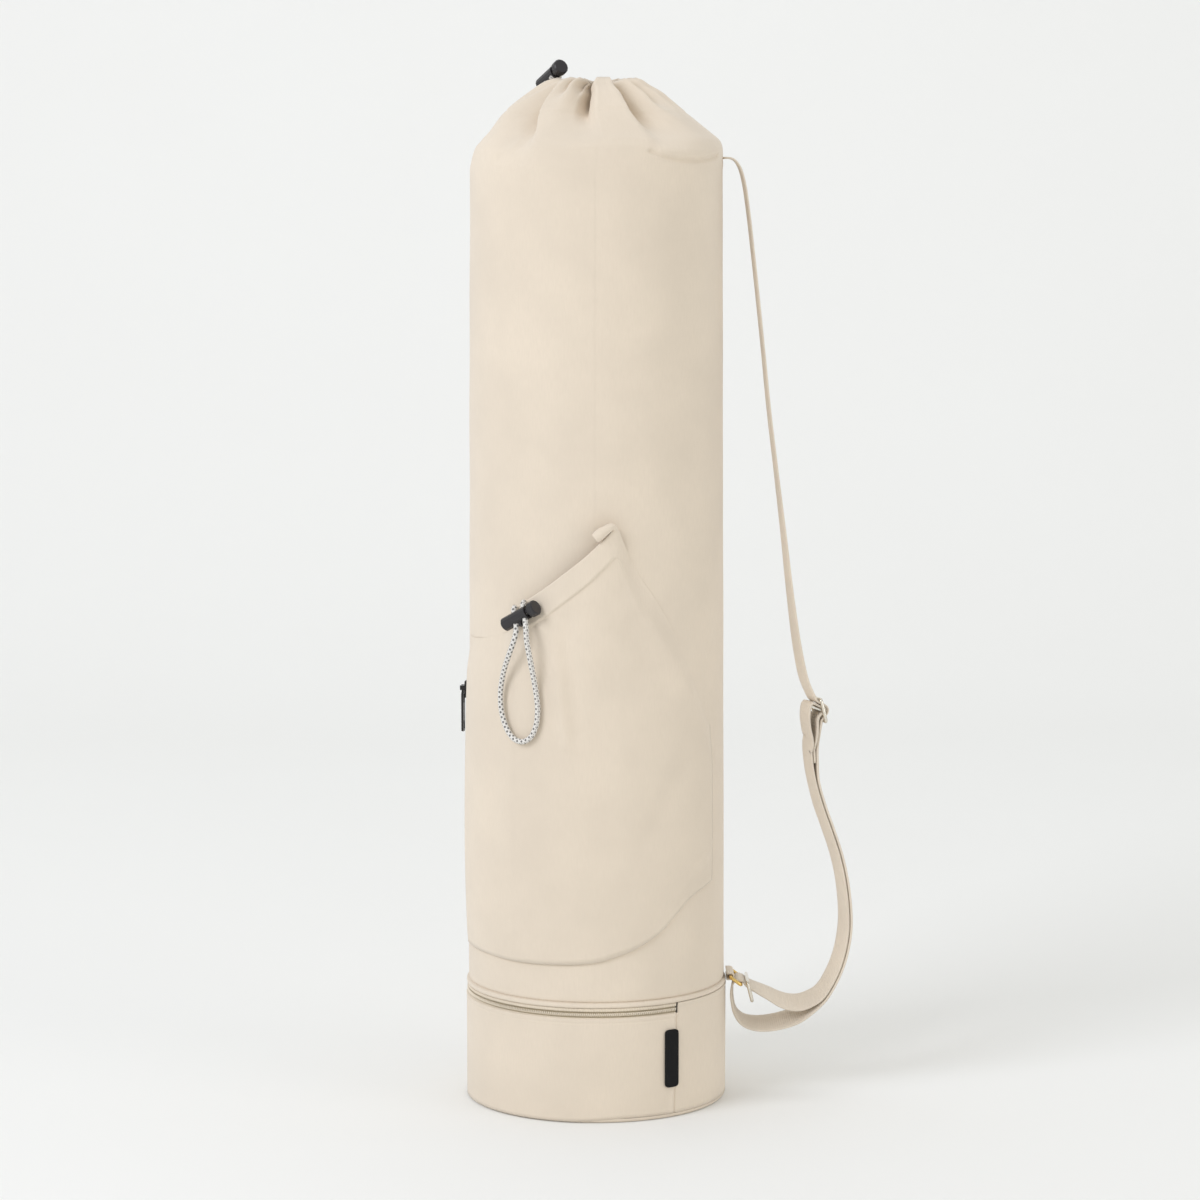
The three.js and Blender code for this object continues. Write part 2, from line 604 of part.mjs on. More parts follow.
// Columns of the pocket: the outline's own, and the tube's between them, so that flat facets don't cut into it
function pocketColumns() {
  const step = 360 / TUBE_COLUMNS;
  const angles = POCKET_OUTLINE.map((row) => row.angle);
  const first = angles[0];
  const last = angles[angles.length - 1];
  for (let angle = first; angle < last; angle += step) {
    if (angles.every((other) => Math.abs(other - angle) > 1.5)) angles.push(angle);
  }
  angles.sort((a, b) => a - b);
  const value = (angle, column) => readTable(POCKET_OUTLINE, 'angle', column, angle);
  return angles.map((angle) => ({
    angle,
    bottom: value(angle, 'bottom'),
    top: value(angle, 'top'),
    lift: value(angle, 'lift'),
    belly: value(angle, 'belly'),
    hem: value(angle, 'hem'),
  }));
}

function makePocket() {
  const bodyRows = 6;
  const outer = [];
  const inner = [];
  for (const column of pocketColumns()) {
    const bottom = column.bottom * POCKET_TOP;
    const top = column.top * POCKET_TOP;
    const hemStep = 0.8;
    const heights = Array.from({ length: bodyRows }, (_, i) =>
      lerp(bottom, top - HEM_WIDTH - hemStep, i / (bodyRows - 1)));
    heights.push(top - HEM_WIDTH, top);
    const outerColumn = [];
    const innerColumn = [];
    heights.forEach((height, j) => {
      const share = (height - bottom) / (top - bottom);
      const gap = POCKET_GAP + POCKET_STANDOFF * column.lift * smoothstep(share, 0.45, 1)
        + POCKET_BELLY * column.belly * Math.sin(Math.PI * share ** 0.8);
      const inHem = j >= bodyRows ? column.hem : 0;
      const radius = tubeRadius(height) + gap;
      innerColumn.push(onBag(column.angle, radius, height));
      outerColumn.push(onBag(column.angle, radius + lerp(CLOTH, HEM_THICKNESS, inHem), height));
    });
    outer.push(outerColumn);
    inner.push(innerColumn);
  }
  return sheetSolid(outer, inner);
}

// Cord locks, drawn with the axis along +X from the closed end to the button, the cords crossing along Y
const LOCK_LENGTH = LOCK_SLEEVE_LENGTH + LOCK_STROKE + CLEARANCE + LOCK_HEAD_LENGTH;
const LOCK_HOLES = [LOCK_FIRST_HOLE, LOCK_FIRST_HOLE + LOCK_HOLE_SPACING];
const LOCK_MIDDLE = (LOCK_HOLES[0] + LOCK_HOLES[1]) / 2;
const HOLE_RADIUS = CORD_DIAMETER / 2 + CLEARANCE * 1.7;

function latheAlongX(profile, sides) {
  const geometry = new THREE.LatheGeometry(profile.map(([x, r]) => new THREE.Vector2(r, x)), sides);
  geometry.rotateZ(-Math.PI / 2);
  return facingOut(geometry);
}

function makeLockSleeve() {
  const bore = LOCK_RADIUS - LOCK_WALL;
  const bevel = 0.9;
  const endWall = 1.8;
  const cup = latheAlongX([
    [0, 0], [0, LOCK_RADIUS - bevel], [bevel, LOCK_RADIUS], [LOCK_SLEEVE_LENGTH, LOCK_RADIUS],
    [LOCK_SLEEVE_LENGTH, bore], [endWall, bore], [endWall, 0]], 14);
  const eyelet = new THREE.BoxGeometry(2, 3, 2.2);
  eyelet.translate(LOCK_MIDDLE, -LOCK_RADIUS - 1, 0);
  let solid = toManifold(cup).add(toManifold(eyelet));
  const far = LOCK_RADIUS * 2;
  for (const hole of LOCK_HOLES) {
    const from = new THREE.Vector3(hole, -far, 0);
    const to = new THREE.Vector3(hole, far, 0);
    solid = solid.subtract(toManifold(barGeometry(from, to, HOLE_RADIUS, 12)));
  }
  return fromManifold(solid);
}

function makeLockButton() {
  const stem = LOCK_RADIUS - LOCK_WALL - CLEARANCE;
  const headStart = LOCK_SLEEVE_LENGTH + LOCK_STROKE + CLEARANCE;
  const stemEnd = 4.8;
  const bevel = 0.8;
  const body = latheAlongX([
    [stemEnd, 0], [stemEnd, stem], [headStart, stem], [headStart, LOCK_HEAD_RADIUS - bevel],
    [headStart + bevel, LOCK_HEAD_RADIUS], [LOCK_LENGTH - bevel, LOCK_HEAD_RADIUS],
    [LOCK_LENGTH, LOCK_HEAD_RADIUS - bevel], [LOCK_LENGTH, 0]], 14);
  let solid = toManifold(body);
  for (const hole of LOCK_HOLES) {
    // The slot is longer than the cord by the stroke, so the button slides past it
    const slot = new THREE.BoxGeometry(HOLE_RADIUS * 2 + LOCK_STROKE, LOCK_RADIUS * 3, HOLE_RADIUS * 2);
    slot.translate(hole + LOCK_STROKE / 2, 0, 0);
    solid = solid.subtract(toManifold(slot));
  }
  return fromManifold(solid);
}

// A lock's place: the point between its holes, its axis, and the way the cords run through it
function lockFrame(middle, axis, through) {
  const y = through.clone().addScaledVector(axis, -through.dot(axis)).normalize();
  const z = new THREE.Vector3().crossVectors(axis, y);
  const basis = new THREE.Matrix4().makeBasis(axis, y, z);
  const at = (along, across, up) =>
    middle.clone().addScaledVector(axis, along).addScaledVector(y, across).addScaledVector(z, up);
  return { middle, basis, at };
}

function placeLock(geometry, frame) {
  const placed = geometry.clone();
  placed.translate(-LOCK_MIDDLE, 0, 0);
  placed.applyMatrix4(frame.basis);
  placed.translate(frame.middle.x, frame.middle.y, frame.middle.z);
  return placed;
}

const pocketLockAxis = sideways(POCKET_LOCK_ANGLE)
  .multiplyScalar(Math.cos(toRadians(POCKET_LOCK_TILT)) * Math.cos(toRadians(POCKET_LOCK_LEAN)))
  .addScaledVector(outward(POCKET_LOCK_ANGLE),
    Math.cos(toRadians(POCKET_LOCK_TILT)) * Math.sin(toRadians(POCKET_LOCK_LEAN)))
  .addScaledVector(new THREE.Vector3(0, 0, 1), Math.sin(toRadians(POCKET_LOCK_TILT)));
const pocketLockThrough = outward(POCKET_LOCK_ANGLE)
  .multiplyScalar(-Math.sin(POCKET_LOCK_ROLL))
  .setZ(Math.cos(POCKET_LOCK_ROLL));
const pocketLock = lockFrame(onBag(POCKET_LOCK_ANGLE, POCKET_LOCK_RADIUS, POCKET_LOCK_HEIGHT),
  pocketLockAxis, pocketLockThrough);
const neckLock = lockFrame(
  NECK_LOCK_HEAD.clone().addScaledVector(NECK_LOCK_AXIS, LOCK_MIDDLE - LOCK_LENGTH),
  NECK_LOCK_AXIS, NECK_LOCK_THROUGH);

// Cords. Their points are chosen by hand: some in the lock's frame, where a hole is half the spacing from the
// middle, the others by angle, radius and height on the bag. The pocket loop's heights are from its lock's.
const HOLE = LOCK_HOLE_SPACING / 2;
const POCKET_CORD_START = [
  [-HOLE, 9.6, -1.7], [-HOLE, 8.5, -0.9], [-HOLE, 7.0, -0.28], [-HOLE, 5, 0], [-HOLE, 0, 0], [-HOLE, -5, 0]];
const POCKET_CORD_LOOP = [
  [-30.9, 104.5, -10.4], [-31.7, 105, -16.2], [-33.8, 104, -24.2], [-37, 101.3, -33.7], [-39.8, 98.9, -43.7],
  [-41.4, 97.7, -54.2], [-40.9, 97.3, -67.2], [-38.2, 97.1, -78.2], [-34.6, 97.1, -84.2], [-30.6, 97.1, -85.4],
  [-26.9, 97.2, -81.8], [-24.5, 97.4, -73.7], [-23.7, 97.7, -62.2], [-24.3, 98.7, -49.2], [-25, 101, -36.7],
  [-25.5, 103.8, -25.7], [-26.1, 105.5, -15.2], [-26.4, 105.5, -7.2]];
const POCKET_CORD_END = [
  [HOLE, -5, 0], [HOLE, 0, 0], [HOLE, 5, 0], [HOLE, 7.0, -0.28], [HOLE, 8.5, -0.9], [HOLE, 9.7, -1.8]];
const NECK_CORD_START = [
  [-HOLE, -8.4, -0.7], [-HOLE, -7.0, -0.25], [-HOLE, -5, 0], [-HOLE, 0, 0], [-HOLE, 5.2, 0]];
const NECK_CORD_LOOP = [
  [-124.2, 37.0, 711.8], [-128.5, 38.4, 713.2], [-132.5, 40.4, 713.6], [-135.7, 42.9, 712.9],
  [-137.8, 45.5, 711.3], [-139.1, 48.0, 709.1], [-140.5, 51.9, 703.6], [-142.2, 56.3, 696.5],
  [-143.6, 61.5, 689.5], [-144.6, 68.1, 682.5], [-144, 74.5, 674.5], [-144, 82.5, 664.5], [-144, 88.3, 653],
  [-144, 89.4, 640], [-144, 89.4, 615], [-144, 89.6, 590], [-144, 89.6, 571.5], [-145.5, 89.7, 566],
  [-149, 89.7, 563.7], [-152.5, 89.7, 566], [-154, 89.6, 571.5], [-154, 89.6, 590], [-154, 89.4, 615],
  [-154, 89.4, 640], [-154, 88.3, 653], [-153.5, 82.5, 664], [-152, 74.7, 673], [-150, 66.8, 681.3],
  [-147.8, 59.1, 687.5], [-147.0, 53.6, 692.5], [-145.1, 48.2, 698.8], [-142.7, 43.4, 704.6],
  [-139.7, 39.4, 709.6], [-137.3, 37.3, 712.2], [-134.0, 35.1, 714.4], [-129.6, 33.0, 716.0],
  [-124.1, 31.2, 716.4], [-118.4, 30.1, 715.5]];
const NECK_CORD_END = [
  [HOLE, 5.2, 0], [HOLE, 0, 0], [HOLE, -5, 0]];

function cordRoute(lock, start, loop, end, fromHeight) {
  const inLock = ([x, y, z]) => lock.at(x, y, z);
  const onWall = ([angle, radius, height]) => onBag(angle, radius, height + fromHeight);
  return [...start.map(inLock), ...loop.map(onWall), ...end.map(inLock)];
}

function makeCord(points, steps) {
  const path = new THREE.CatmullRomCurve3(points, false, 'centripetal');
  const section = new THREE.Shape();
  const sides = 8;
  for (let i = 0; i < sides; i += 1) {
    const a = (2 * Math.PI * i) / sides;
    const [x, y] = [Math.cos(a) * CORD_DIAMETER / 2, Math.sin(a) * CORD_DIAMETER / 2];
    if (i === 0) section.moveTo(x, y);
    else section.lineTo(x, y);
  }
  section.closePath();
  return new THREE.ExtrudeGeometry(section, { steps, bevelEnabled: false, extrudePath: path });
}

// Strap. In the tables out is a share of the strap's reach from the bag's side plane, up a share of the height
// between the slider and the shoulder, or between the ring and the slider. leanOut and leanUp tip the near edge
// of the webbing, which otherwise runs straight from back to front.
const UPPER_STRAP = [
  { out: -0.04, up: 1.0, leanOut: 0.0, leanUp: 0.0 },
  { out: 0.01, up: 1.0, leanOut: 0.0, leanUp: 0.0 },
  { out: 0.05, up: 0.996, leanOut: 0.0, leanUp: 0.0 },
  { out: 0.09, up: 0.983, leanOut: 0.02, leanUp: 0.0 },
  { out: 0.125, up: 0.957, leanOut: 0.03, leanUp: 0.0 },
  { out: 0.161, up: 0.906, leanOut: 0.03, leanUp: 0.0 },
  { out: 0.196, up: 0.842, leanOut: 0.03, leanUp: 0.0 },
  { out: 0.237, up: 0.762, leanOut: 0.03, leanUp: 0.0 },
  { out: 0.289, up: 0.655, leanOut: 0.03, leanUp: 0.0 },
  { out: 0.34, up: 0.546, leanOut: 0.04, leanUp: 0.0 },
  { out: 0.401, up: 0.437, leanOut: 0.05, leanUp: 0.0 },
  { out: 0.462, up: 0.328, leanOut: 0.08, leanUp: 0.0 },
  { out: 0.53, up: 0.2, leanOut: 0.13, leanUp: 0.01 },
  { out: 0.59, up: 0.108, leanOut: 0.18, leanUp: 0.03 },
  { out: 0.646, up: 0.052, leanOut: 0.2, leanUp: 0.045 },
];

// Where the two runs below the slider lie together: spread is the distance between their middles in millimetres
const PAIRED_STRAP = [
  { out: 0.7, up: 0.868, leanOut: 0.19, leanUp: 0.0, spread: 4.4 },
  { out: 0.705, up: 0.81, leanOut: 0.19, leanUp: 0.0, spread: 3.8 },
  { out: 0.722, up: 0.745, leanOut: 0.2, leanUp: 0.0, spread: 2.4 },
  { out: 0.779, up: 0.65, leanOut: 0.22, leanUp: 0.06, spread: 2.2 },
  { out: 0.851, up: 0.561, leanOut: 0.22, leanUp: 0.08, spread: 2.2 },
  { out: 0.922, up: 0.467, leanOut: 0.22, leanUp: 0.06, spread: 2.2 },
  { out: 0.972, up: 0.368, leanOut: 0.22, leanUp: 0.03, spread: 2.2 },
  { out: 1.0, up: 0.24, leanOut: 0.23, leanUp: 0.0, spread: 2.2 },
  { out: 0.99, up: 0.165, leanOut: 0.23, leanUp: -0.04, spread: 2.2 },
  { out: 0.948, up: 0.08, leanOut: 0.2, leanUp: -0.12, spread: 2.2 },
  { out: 0.88, up: 0.008, leanOut: 0.16, leanUp: -0.18, spread: 2.2 },
  { out: 0.8, up: -0.048, leanOut: 0.12, leanUp: -0.22, spread: 2.6 },
];

// The outer run from there, down under the ring and up to it
const LOWER_RUN = [
  { out: 0.715, up: -0.094, leanOut: 0.07, leanUp: -0.25 },
  { out: 0.605, up: -0.128, leanOut: 0.04, leanUp: -0.27 },
  { out: 0.475, up: -0.148, leanOut: 0.02, leanUp: -0.27 },
  { out: 0.355, up: -0.158, leanOut: 0.0, leanUp: -0.25 },
  { out: 0.242, up: -0.158, leanOut: -0.02, leanUp: -0.2 },
  { out: 0.145, up: -0.144, leanOut: -0.04, leanUp: -0.12 },
  { out: 0.083, up: -0.112, leanOut: -0.04, leanUp: -0.03 },
  { out: 0.059, up: -0.068, leanOut: -0.06, leanUp: 0.0 },
  { out: 0.056, up: -0.032, leanOut: -0.08, leanUp: 0.0 },
  { out: 0.066, up: -0.004, leanOut: -0.08, leanUp: 0.0 },
  { out: 0.088, up: 0.012, leanOut: -0.06, leanUp: 0.0 },
];

// The inner run, from the ring back to where the two runs meet
const UPPER_RUN = [
  { out: 0.182, up: -0.008, leanOut: -0.03, leanUp: -0.02 },
  { out: 0.262, up: -0.026, leanOut: -0.03, leanUp: -0.08 },
  { out: 0.365, up: -0.048, leanOut: 0.0, leanUp: -0.18 },
  { out: 0.45, up: -0.068, leanOut: 0.03, leanUp: -0.25 },
  { out: 0.535, up: -0.08, leanOut: 0.05, leanUp: -0.27 },
  { out: 0.62, up: -0.081, leanOut: 0.07, leanUp: -0.27 },
  { out: 0.705, up: -0.068, leanOut: 0.09, leanUp: -0.25 },
];

const strapX = (out, side = STRAP_SIDE) => side + out * STRAP_REACH;
const upperZ = (up) => lerp(SLIDER_HEIGHT, STRAP_TOP_HEIGHT, up);
const lowerZ = (up) => lerp(RING_HEIGHT, SLIDER_HEIGHT, up);
const lean = (row) => new THREE.Vector3(row.leanOut, -1, row.leanUp).normalize();

// The slider's own axes: down its length, out of its face, and along its bars
const sliderTilt = toRadians(SLIDER_TILT);
const sliderTwist = toRadians(SLIDER_TWIST);
const sliderCentre = new THREE.Vector3(STRAP_SIDE + SLIDER_OUT, 0, SLIDER_HEIGHT);
const sliderDown = new THREE.Vector3(Math.sin(sliderTilt), 0, -Math.cos(sliderTilt));
const flatFace = new THREE.Vector3(Math.cos(sliderTilt), 0, Math.sin(sliderTilt));
const sliderBars = flatFace.clone().multiplyScalar(Math.sin(sliderTwist)).setY(-Math.cos(sliderTwist));
const sliderFace = flatFace.clone().multiplyScalar(Math.cos(sliderTwist)).setY(Math.sin(sliderTwist));

function inSlider(down, out) {
  const at = sliderCentre.clone().addScaledVector(sliderDown, down).addScaledVector(sliderFace, out);
  return { at, across: sliderBars };
}

// Distances of the webbing's middle from a bar: bare, and over the fixed end that already wraps the middle bar
const ON_BAR = WIRE_RADIUS + CLEARANCE + 0.05 + STRAP_THICKNESS / 2;
const OVER_WRAP = ON_BAR + STRAP_THICKNESS + CLEARANCE + 0.05;

function arc(barAt, radius, fromAngle, toAngle, steps, place) {
  const stations = [];
  for (let i = 0; i <= steps; i += 1) {
    const a = toRadians(lerp(fromAngle, toAngle, i / steps));
    stations.push(place(barAt + radius * Math.cos(a), radius * Math.sin(a)));
  }
  return stations;
}

// Where the webbing passes the bars of the ring
const ringTilt = toRadians(RING_TILT);
const ringOuterBar = new THREE.Vector3(STRAP_SIDE + RING_OUT, 0, RING_HEIGHT);
const ringInnerBar = new THREE.Vector3(ringOuterBar.x - RING_DEPTH * Math.cos(ringTilt), 0,
  RING_HEIGHT + RING_DEPTH * Math.sin(ringTilt));
const ringBars = new THREE.Vector3(0, -1, 0);

function overRing(along, out) {
  const at = new THREE.Vector3(ringOuterBar.x + along, 0, ringOuterBar.z + out);
  return { at, across: ringBars };
}

function strapStations() {
  const tableStation = (row, z, side) => {
    const at = new THREE.Vector3(strapX(row.out, side), 0, z(row.up));
    return { at, across: lean(row) };
  };
  const upperStation = (row) => tableStation(row, upperZ, lerp(STRAP_SIDE, STRAP_TOP_SIDE, row.up));
  const paired = (side) => PAIRED_STRAP.map((row, i) => {
    const before = PAIRED_STRAP[Math.max(i - 1, 0)];
    const after = PAIRED_STRAP[Math.min(i + 1, PAIRED_STRAP.length - 1)];
    const along = new THREE.Vector3(strapX(after.out), 0, lowerZ(after.up));
    along.sub(new THREE.Vector3(strapX(before.out), 0, lowerZ(before.up))).normalize();
    const station = tableStation(row, lowerZ);
    const outwards = new THREE.Vector3(-along.z, 0, along.x);
    station.at.addScaledVector(outwards, side * row.spread / 2);
    return station;
  });
  const crossing = THREE.MathUtils.radToDeg(Math.asin((ON_BAR + OVER_WRAP) / SLIDER_BAR_PITCH));
  const topBar = -SLIDER_BAR_PITCH;
  const arriving = -83;
  const leaving = -109;
  const fixedLeg = [
    [19, -11.6], [11.5, -11.4], [4, -10.6], [-1.6, -9.0], [-5.0, -7.4], [-6.3, -5.5], [-5.5, -3.7], [-3.8, -1.9]];
  const tail = [[2.8, -1.9], [4.0, -3.4], [6.4, -4.7], [11.5, -6.0], [18, -8.3]];
  const tailEnd = PAIRED_STRAP.slice(0, 2).map((row) => tableStation(row, lowerZ));
  return [
    ...UPPER_STRAP.map(upperStation),
    ...arc(topBar, ON_BAR, arriving, crossing - 90, 3, inSlider),
    ...arc(0, OVER_WRAP, 90 + crossing, 90 - crossing, 6, inSlider),
    ...arc(SLIDER_BAR_PITCH, ON_BAR, -90 - crossing, leaving, 2, inSlider),
    ...paired(1),
    ...LOWER_RUN.map((row) => tableStation(row, lowerZ)),
    ...arc(0, ON_BAR, 110, 20, 5, overRing),
    ...UPPER_RUN.map((row) => tableStation(row, lowerZ)),
    ...paired(-1).reverse(),
    ...fixedLeg.map(([down, out]) => inSlider(down, out)),
    ...arc(0, ON_BAR, 180, 0, 8, inSlider),
    ...tail.map(([down, out]) => inSlider(down, out)),
    ...tailEnd,
  ];
}

// The webbing: its middle line is a smooth curve through the stations, cut into short lengths
function makeStrap() {
  const stations = strapStations();
  const curve = new THREE.CatmullRomCurve3(stations.map((station) => station.at), false, 'centripetal');
  const spans = stations.length - 1;
  const longestStep = 14;
  const outer = [];
  const inner = [];
  const addSection = (t) => {
    const span = Math.min(Math.floor(t * spans), spans - 1);
    const share = t * spans - span;
    const at = curve.getPoint(t);
    const along = curve.getTangent(t);
    const across = stations[span].across.clone().lerp(stations[span + 1].across, share);
    across.addScaledVector(along, -across.dot(along)).normalize();
    const normal = new THREE.Vector3().crossVectors(along, across);
    const edge = (side, face) => at.clone()
      .addScaledVector(across, (side * STRAP_WIDTH) / 2)
      .addScaledVector(normal, (face * STRAP_THICKNESS) / 2);
    outer.push([edge(-1, 1), edge(1, 1)]);
    inner.push([edge(-1, -1), edge(1, -1)]);
  };
  for (let span = 0; span < spans; span += 1) {
    const length = stations[span].at.distanceTo(stations[span + 1].at);
    const cuts = Math.max(1, Math.ceil(length / longestStep));
    for (let i = 0; i < cuts; i += 1) addSection((span + i / cuts) / spans);
  }
  addSection(1);
  return sheetSolid(outer, inner);
}

const frameHalf = STRAP_WIDTH / 2 + FRAME_CLEARANCE + WIRE_RADIUS;

function makeStrapSlider() {
  const [top, middle, bottom] = [-1, 0, 1].map((bar) => inSlider(bar * SLIDER_BAR_PITCH, 0).at);
  const ends = [-1, 1].map((side) => middle.clone().addScaledVector(sliderBars, side * frameHalf));
  const frame = wireRing(top, bottom, sliderBars, frameHalf);
  return fromManifold(joined([frame, barGeometry(...ends, WIRE_RADIUS, 8)]));
}

function makeAnchorRing() {
  return wireRing(ringInnerBar, ringOuterBar, ringBars, frameHalf);
}

// The loose ring hangs on the upper run, just outside the place where the webbing turns round the other ring
function makeLooseRing() {
  const besideBar = 4.4;
  const aboveBar = 1.9;
  const hangAngle = toRadians(76);
  const top = new THREE.Vector3(ringOuterBar.x + besideBar, 0, ringOuterBar.z + aboveBar);
  const bottom = new THREE.Vector3(top.x + LOOSE_RING_DEPTH * Math.cos(hangAngle), 0,
    top.z - LOOSE_RING_DEPTH * Math.sin(hangAngle));
  return wireRing(top, bottom, ringBars, frameHalf + WIRE_RADIUS * 0.5);
}

// The tab: webbing folded round the ring's inner bar and sewn flat to the bag
function makeRingTab() {
  const bore = WIRE_RADIUS + CLEARANCE * 1.25;
  const loop = bore + TAB_THICKNESS;
  const half = TAB_WIDTH / 2;
  const along = (y) => ringInnerBar.clone().setY(y);
  const wall = SIDE_RADIUS + CLEARANCE;
  const flap = new THREE.BoxGeometry(ringInnerBar.x - wall, TAB_WIDTH, loop * 2);
  flap.translate((wall + ringInnerBar.x) / 2, 0, ringInnerBar.z);
  const round = barGeometry(along(-half), along(half), loop, 16);
  const drill = barGeometry(along(-TAB_WIDTH), along(TAB_WIDTH), bore, 12);
  return fromManifold(toManifold(round).add(toManifold(flap)).subtract(toManifold(drill)));
}

// Finishes
const canvas = new THREE.MeshStandardMaterial({ color: 0xe2d5c3, roughness: 0.9, metalness: 0 });
const webbing = new THREE.MeshStandardMaterial({ color: 0xded1bd, roughness: 0.85, metalness: 0 });
const zipTape = new THREE.MeshStandardMaterial({ color: 0xcabc9c, roughness: 0.8, metalness: 0 });
const blackPlastic = new THREE.MeshStandardMaterial({ color: 0x232123, roughness: 0.4, metalness: 0 });
const blackMetal = new THREE.MeshStandardMaterial({ color: 0x2a2726, roughness: 0.35, metalness: 0.7 });
const goldMetal = new THREE.MeshStandardMaterial({ color: 0xc9ad62, roughness: 0.25, metalness: 1 });
const silverMetal = new THREE.MeshStandardMaterial({ color: 0xcfcabb, roughness: 0.2, metalness: 1 });
const braid = new THREE.MeshStandardMaterial({ color: 0xc9c6c1, roughness: 0.6, metalness: 0 });
const blackLabel = new THREE.MeshStandardMaterial({ color: 0x161617, roughness: 0.6, metalness: 0 });

const group = new THREE.Group();

function addMesh(name, geometry, material) {
  const mesh = new THREE.Mesh(geometry, material);
  mesh.name = name;
  group.add(mesh);
}

const lockSleeve = makeLockSleeve();
const lockButton = makeLockButton();

addMesh('body_tube', makeBodyTube(), canvas);
addMesh('base_wall', makeBaseWall(), canvas);
addMesh('base_panel', makeBasePanel(), canvas);
addMesh('base_zip', makeBaseZip(), zipTape);
addMesh('base_zip_slider', makeBaseZipSlider(), blackMetal);
addMesh('side_zip', makeSideZip(), zipTape);
addMesh('side_zip_slider', makeSideZipSlider(), blackMetal);
addMesh('side_zip_puller', makeSideZipPuller(), blackMetal);
addMesh('pocket_panel', makePocket(), canvas);
addMesh('pocket_lock_sleeve', placeLock(lockSleeve, pocketLock), blackPlastic);
addMesh('pocket_lock_button', placeLock(lockButton, pocketLock), blackPlastic);
const pocketRoute = cordRoute(pocketLock, POCKET_CORD_START, POCKET_CORD_LOOP, POCKET_CORD_END,
  POCKET_LOCK_HEIGHT);
addMesh('pocket_cord', makeCord(pocketRoute, 46), braid);
addMesh('neck_lock_sleeve', placeLock(lockSleeve, neckLock), blackPlastic);
addMesh('neck_lock_button', placeLock(lockButton, neckLock), blackPlastic);
const neckRoute = cordRoute(neckLock, NECK_CORD_START, NECK_CORD_LOOP, NECK_CORD_END, 0);
addMesh('neck_cord', makeCord(neckRoute, 60), braid);
addMesh('label_tab', makeLabel(), blackLabel);
addMesh('shoulder_strap', makeStrap(), webbing);
addMesh('strap_slider', makeStrapSlider(), silverMetal);
addMesh('ring_tab', makeRingTab(), webbing);
addMesh('anchor_ring', makeAnchorRing(), goldMetal);
addMesh('loose_ring', makeLooseRing(), silverMetal);

export default group;
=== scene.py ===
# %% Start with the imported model
# %% [markdown]
# The CAD model of the bag is the frame: its nodes already stand in the right place and ride on their
# bodies. Every piece made below covers one or more of those nodes with a finer shape of the same size.
import math

import bpy
import numpy as np
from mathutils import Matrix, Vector


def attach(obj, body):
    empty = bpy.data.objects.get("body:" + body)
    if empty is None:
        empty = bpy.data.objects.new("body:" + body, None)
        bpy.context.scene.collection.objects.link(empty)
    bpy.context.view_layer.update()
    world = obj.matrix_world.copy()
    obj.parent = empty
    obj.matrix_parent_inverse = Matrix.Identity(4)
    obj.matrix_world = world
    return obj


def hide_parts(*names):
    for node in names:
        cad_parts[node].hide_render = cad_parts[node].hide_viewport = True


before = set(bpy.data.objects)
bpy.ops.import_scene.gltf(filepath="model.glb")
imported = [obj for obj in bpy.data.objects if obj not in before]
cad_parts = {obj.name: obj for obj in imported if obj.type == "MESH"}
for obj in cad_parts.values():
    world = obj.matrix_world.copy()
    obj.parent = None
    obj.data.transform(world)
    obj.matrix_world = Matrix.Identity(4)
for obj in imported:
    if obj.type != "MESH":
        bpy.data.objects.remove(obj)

for leftover in ("Cube", "Light", "Camera"):
    if leftover in bpy.data.objects:
        bpy.data.objects.remove(bpy.data.objects[leftover])

MM = 0.001
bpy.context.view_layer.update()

# %% Set the camera
# %% [markdown]
# The bag was photographed from a little above its middle, with a long lens, so its sides stay almost
# parallel. The camera stands 2.57 m in front of the bag's middle and looks down by 7 degrees.
camera_data = bpy.data.cameras.new("photo camera")
camera_data.sensor_width = 36
camera_data.lens = 112.11
camera_data.clip_start = 0.1
camera_data.clip_end = 30
camera = bpy.data.objects.new("photo camera", camera_data)
camera.location = (0.00256, -2.570, 0.6603)
camera.rotation_euler = (math.radians(90 - 6.935), 0, 0)
bpy.context.scene.collection.objects.link(camera)
bpy.context.scene.camera = camera

# %% Helpers for places on the bag
# %% [markdown]
# Most of the bag is cloth wrapped round a cylinder, so a place on it is easiest to give by an angle round
# the bag (0 at the front, 90 at the strap), a radius and a height, all in millimetres and degrees.


def on_bag(angle, radius, height):
    """Points in metres from angles in degrees and radii and heights in millimetres."""
    angle, radius, height = np.broadcast_arrays(angle, radius, height)
    turn = np.radians(angle)
    return np.stack([radius * np.sin(turn), -radius * np.cos(turn), height], axis=-1) * MM


def ease(x, start, end):
    """A smooth step from 0 at start to 1 at end."""
    t = np.clip((np.asarray(x, float) - start) / (end - start), 0, 1)
    return t * t * (3 - 2 * t)


def read_smooth(xs, ys, x):
    """A smooth line through the points of a table that never swings past them."""
    xs, ys, x = np.asarray(xs, float), np.asarray(ys, float), np.asarray(x, float)
    gaps = np.diff(xs)
    slopes = np.diff(ys) / gaps
    before, after = slopes[:-1], slopes[1:]
    same_way = before * after > 0
    middle = np.where(same_way, 2 * before * after / np.where(same_way, before + after, 1), 0)
    tangent = np.concatenate([slopes[:1], middle, slopes[-1:]])
    i = np.clip(np.searchsorted(xs, x) - 1, 0, len(gaps) - 1)
    t = np.clip((x - xs[i]) / gaps[i], 0, 1)
    rise = ys[i + 1] - ys[i]
    return (
        ys[i]
        + rise * (t * t * (3 - 2 * t))
        + gaps[i] * tangent[i] * t * (1 - t) ** 2
        - gaps[i] * tangent[i + 1] * t * t * (1 - t)
    )


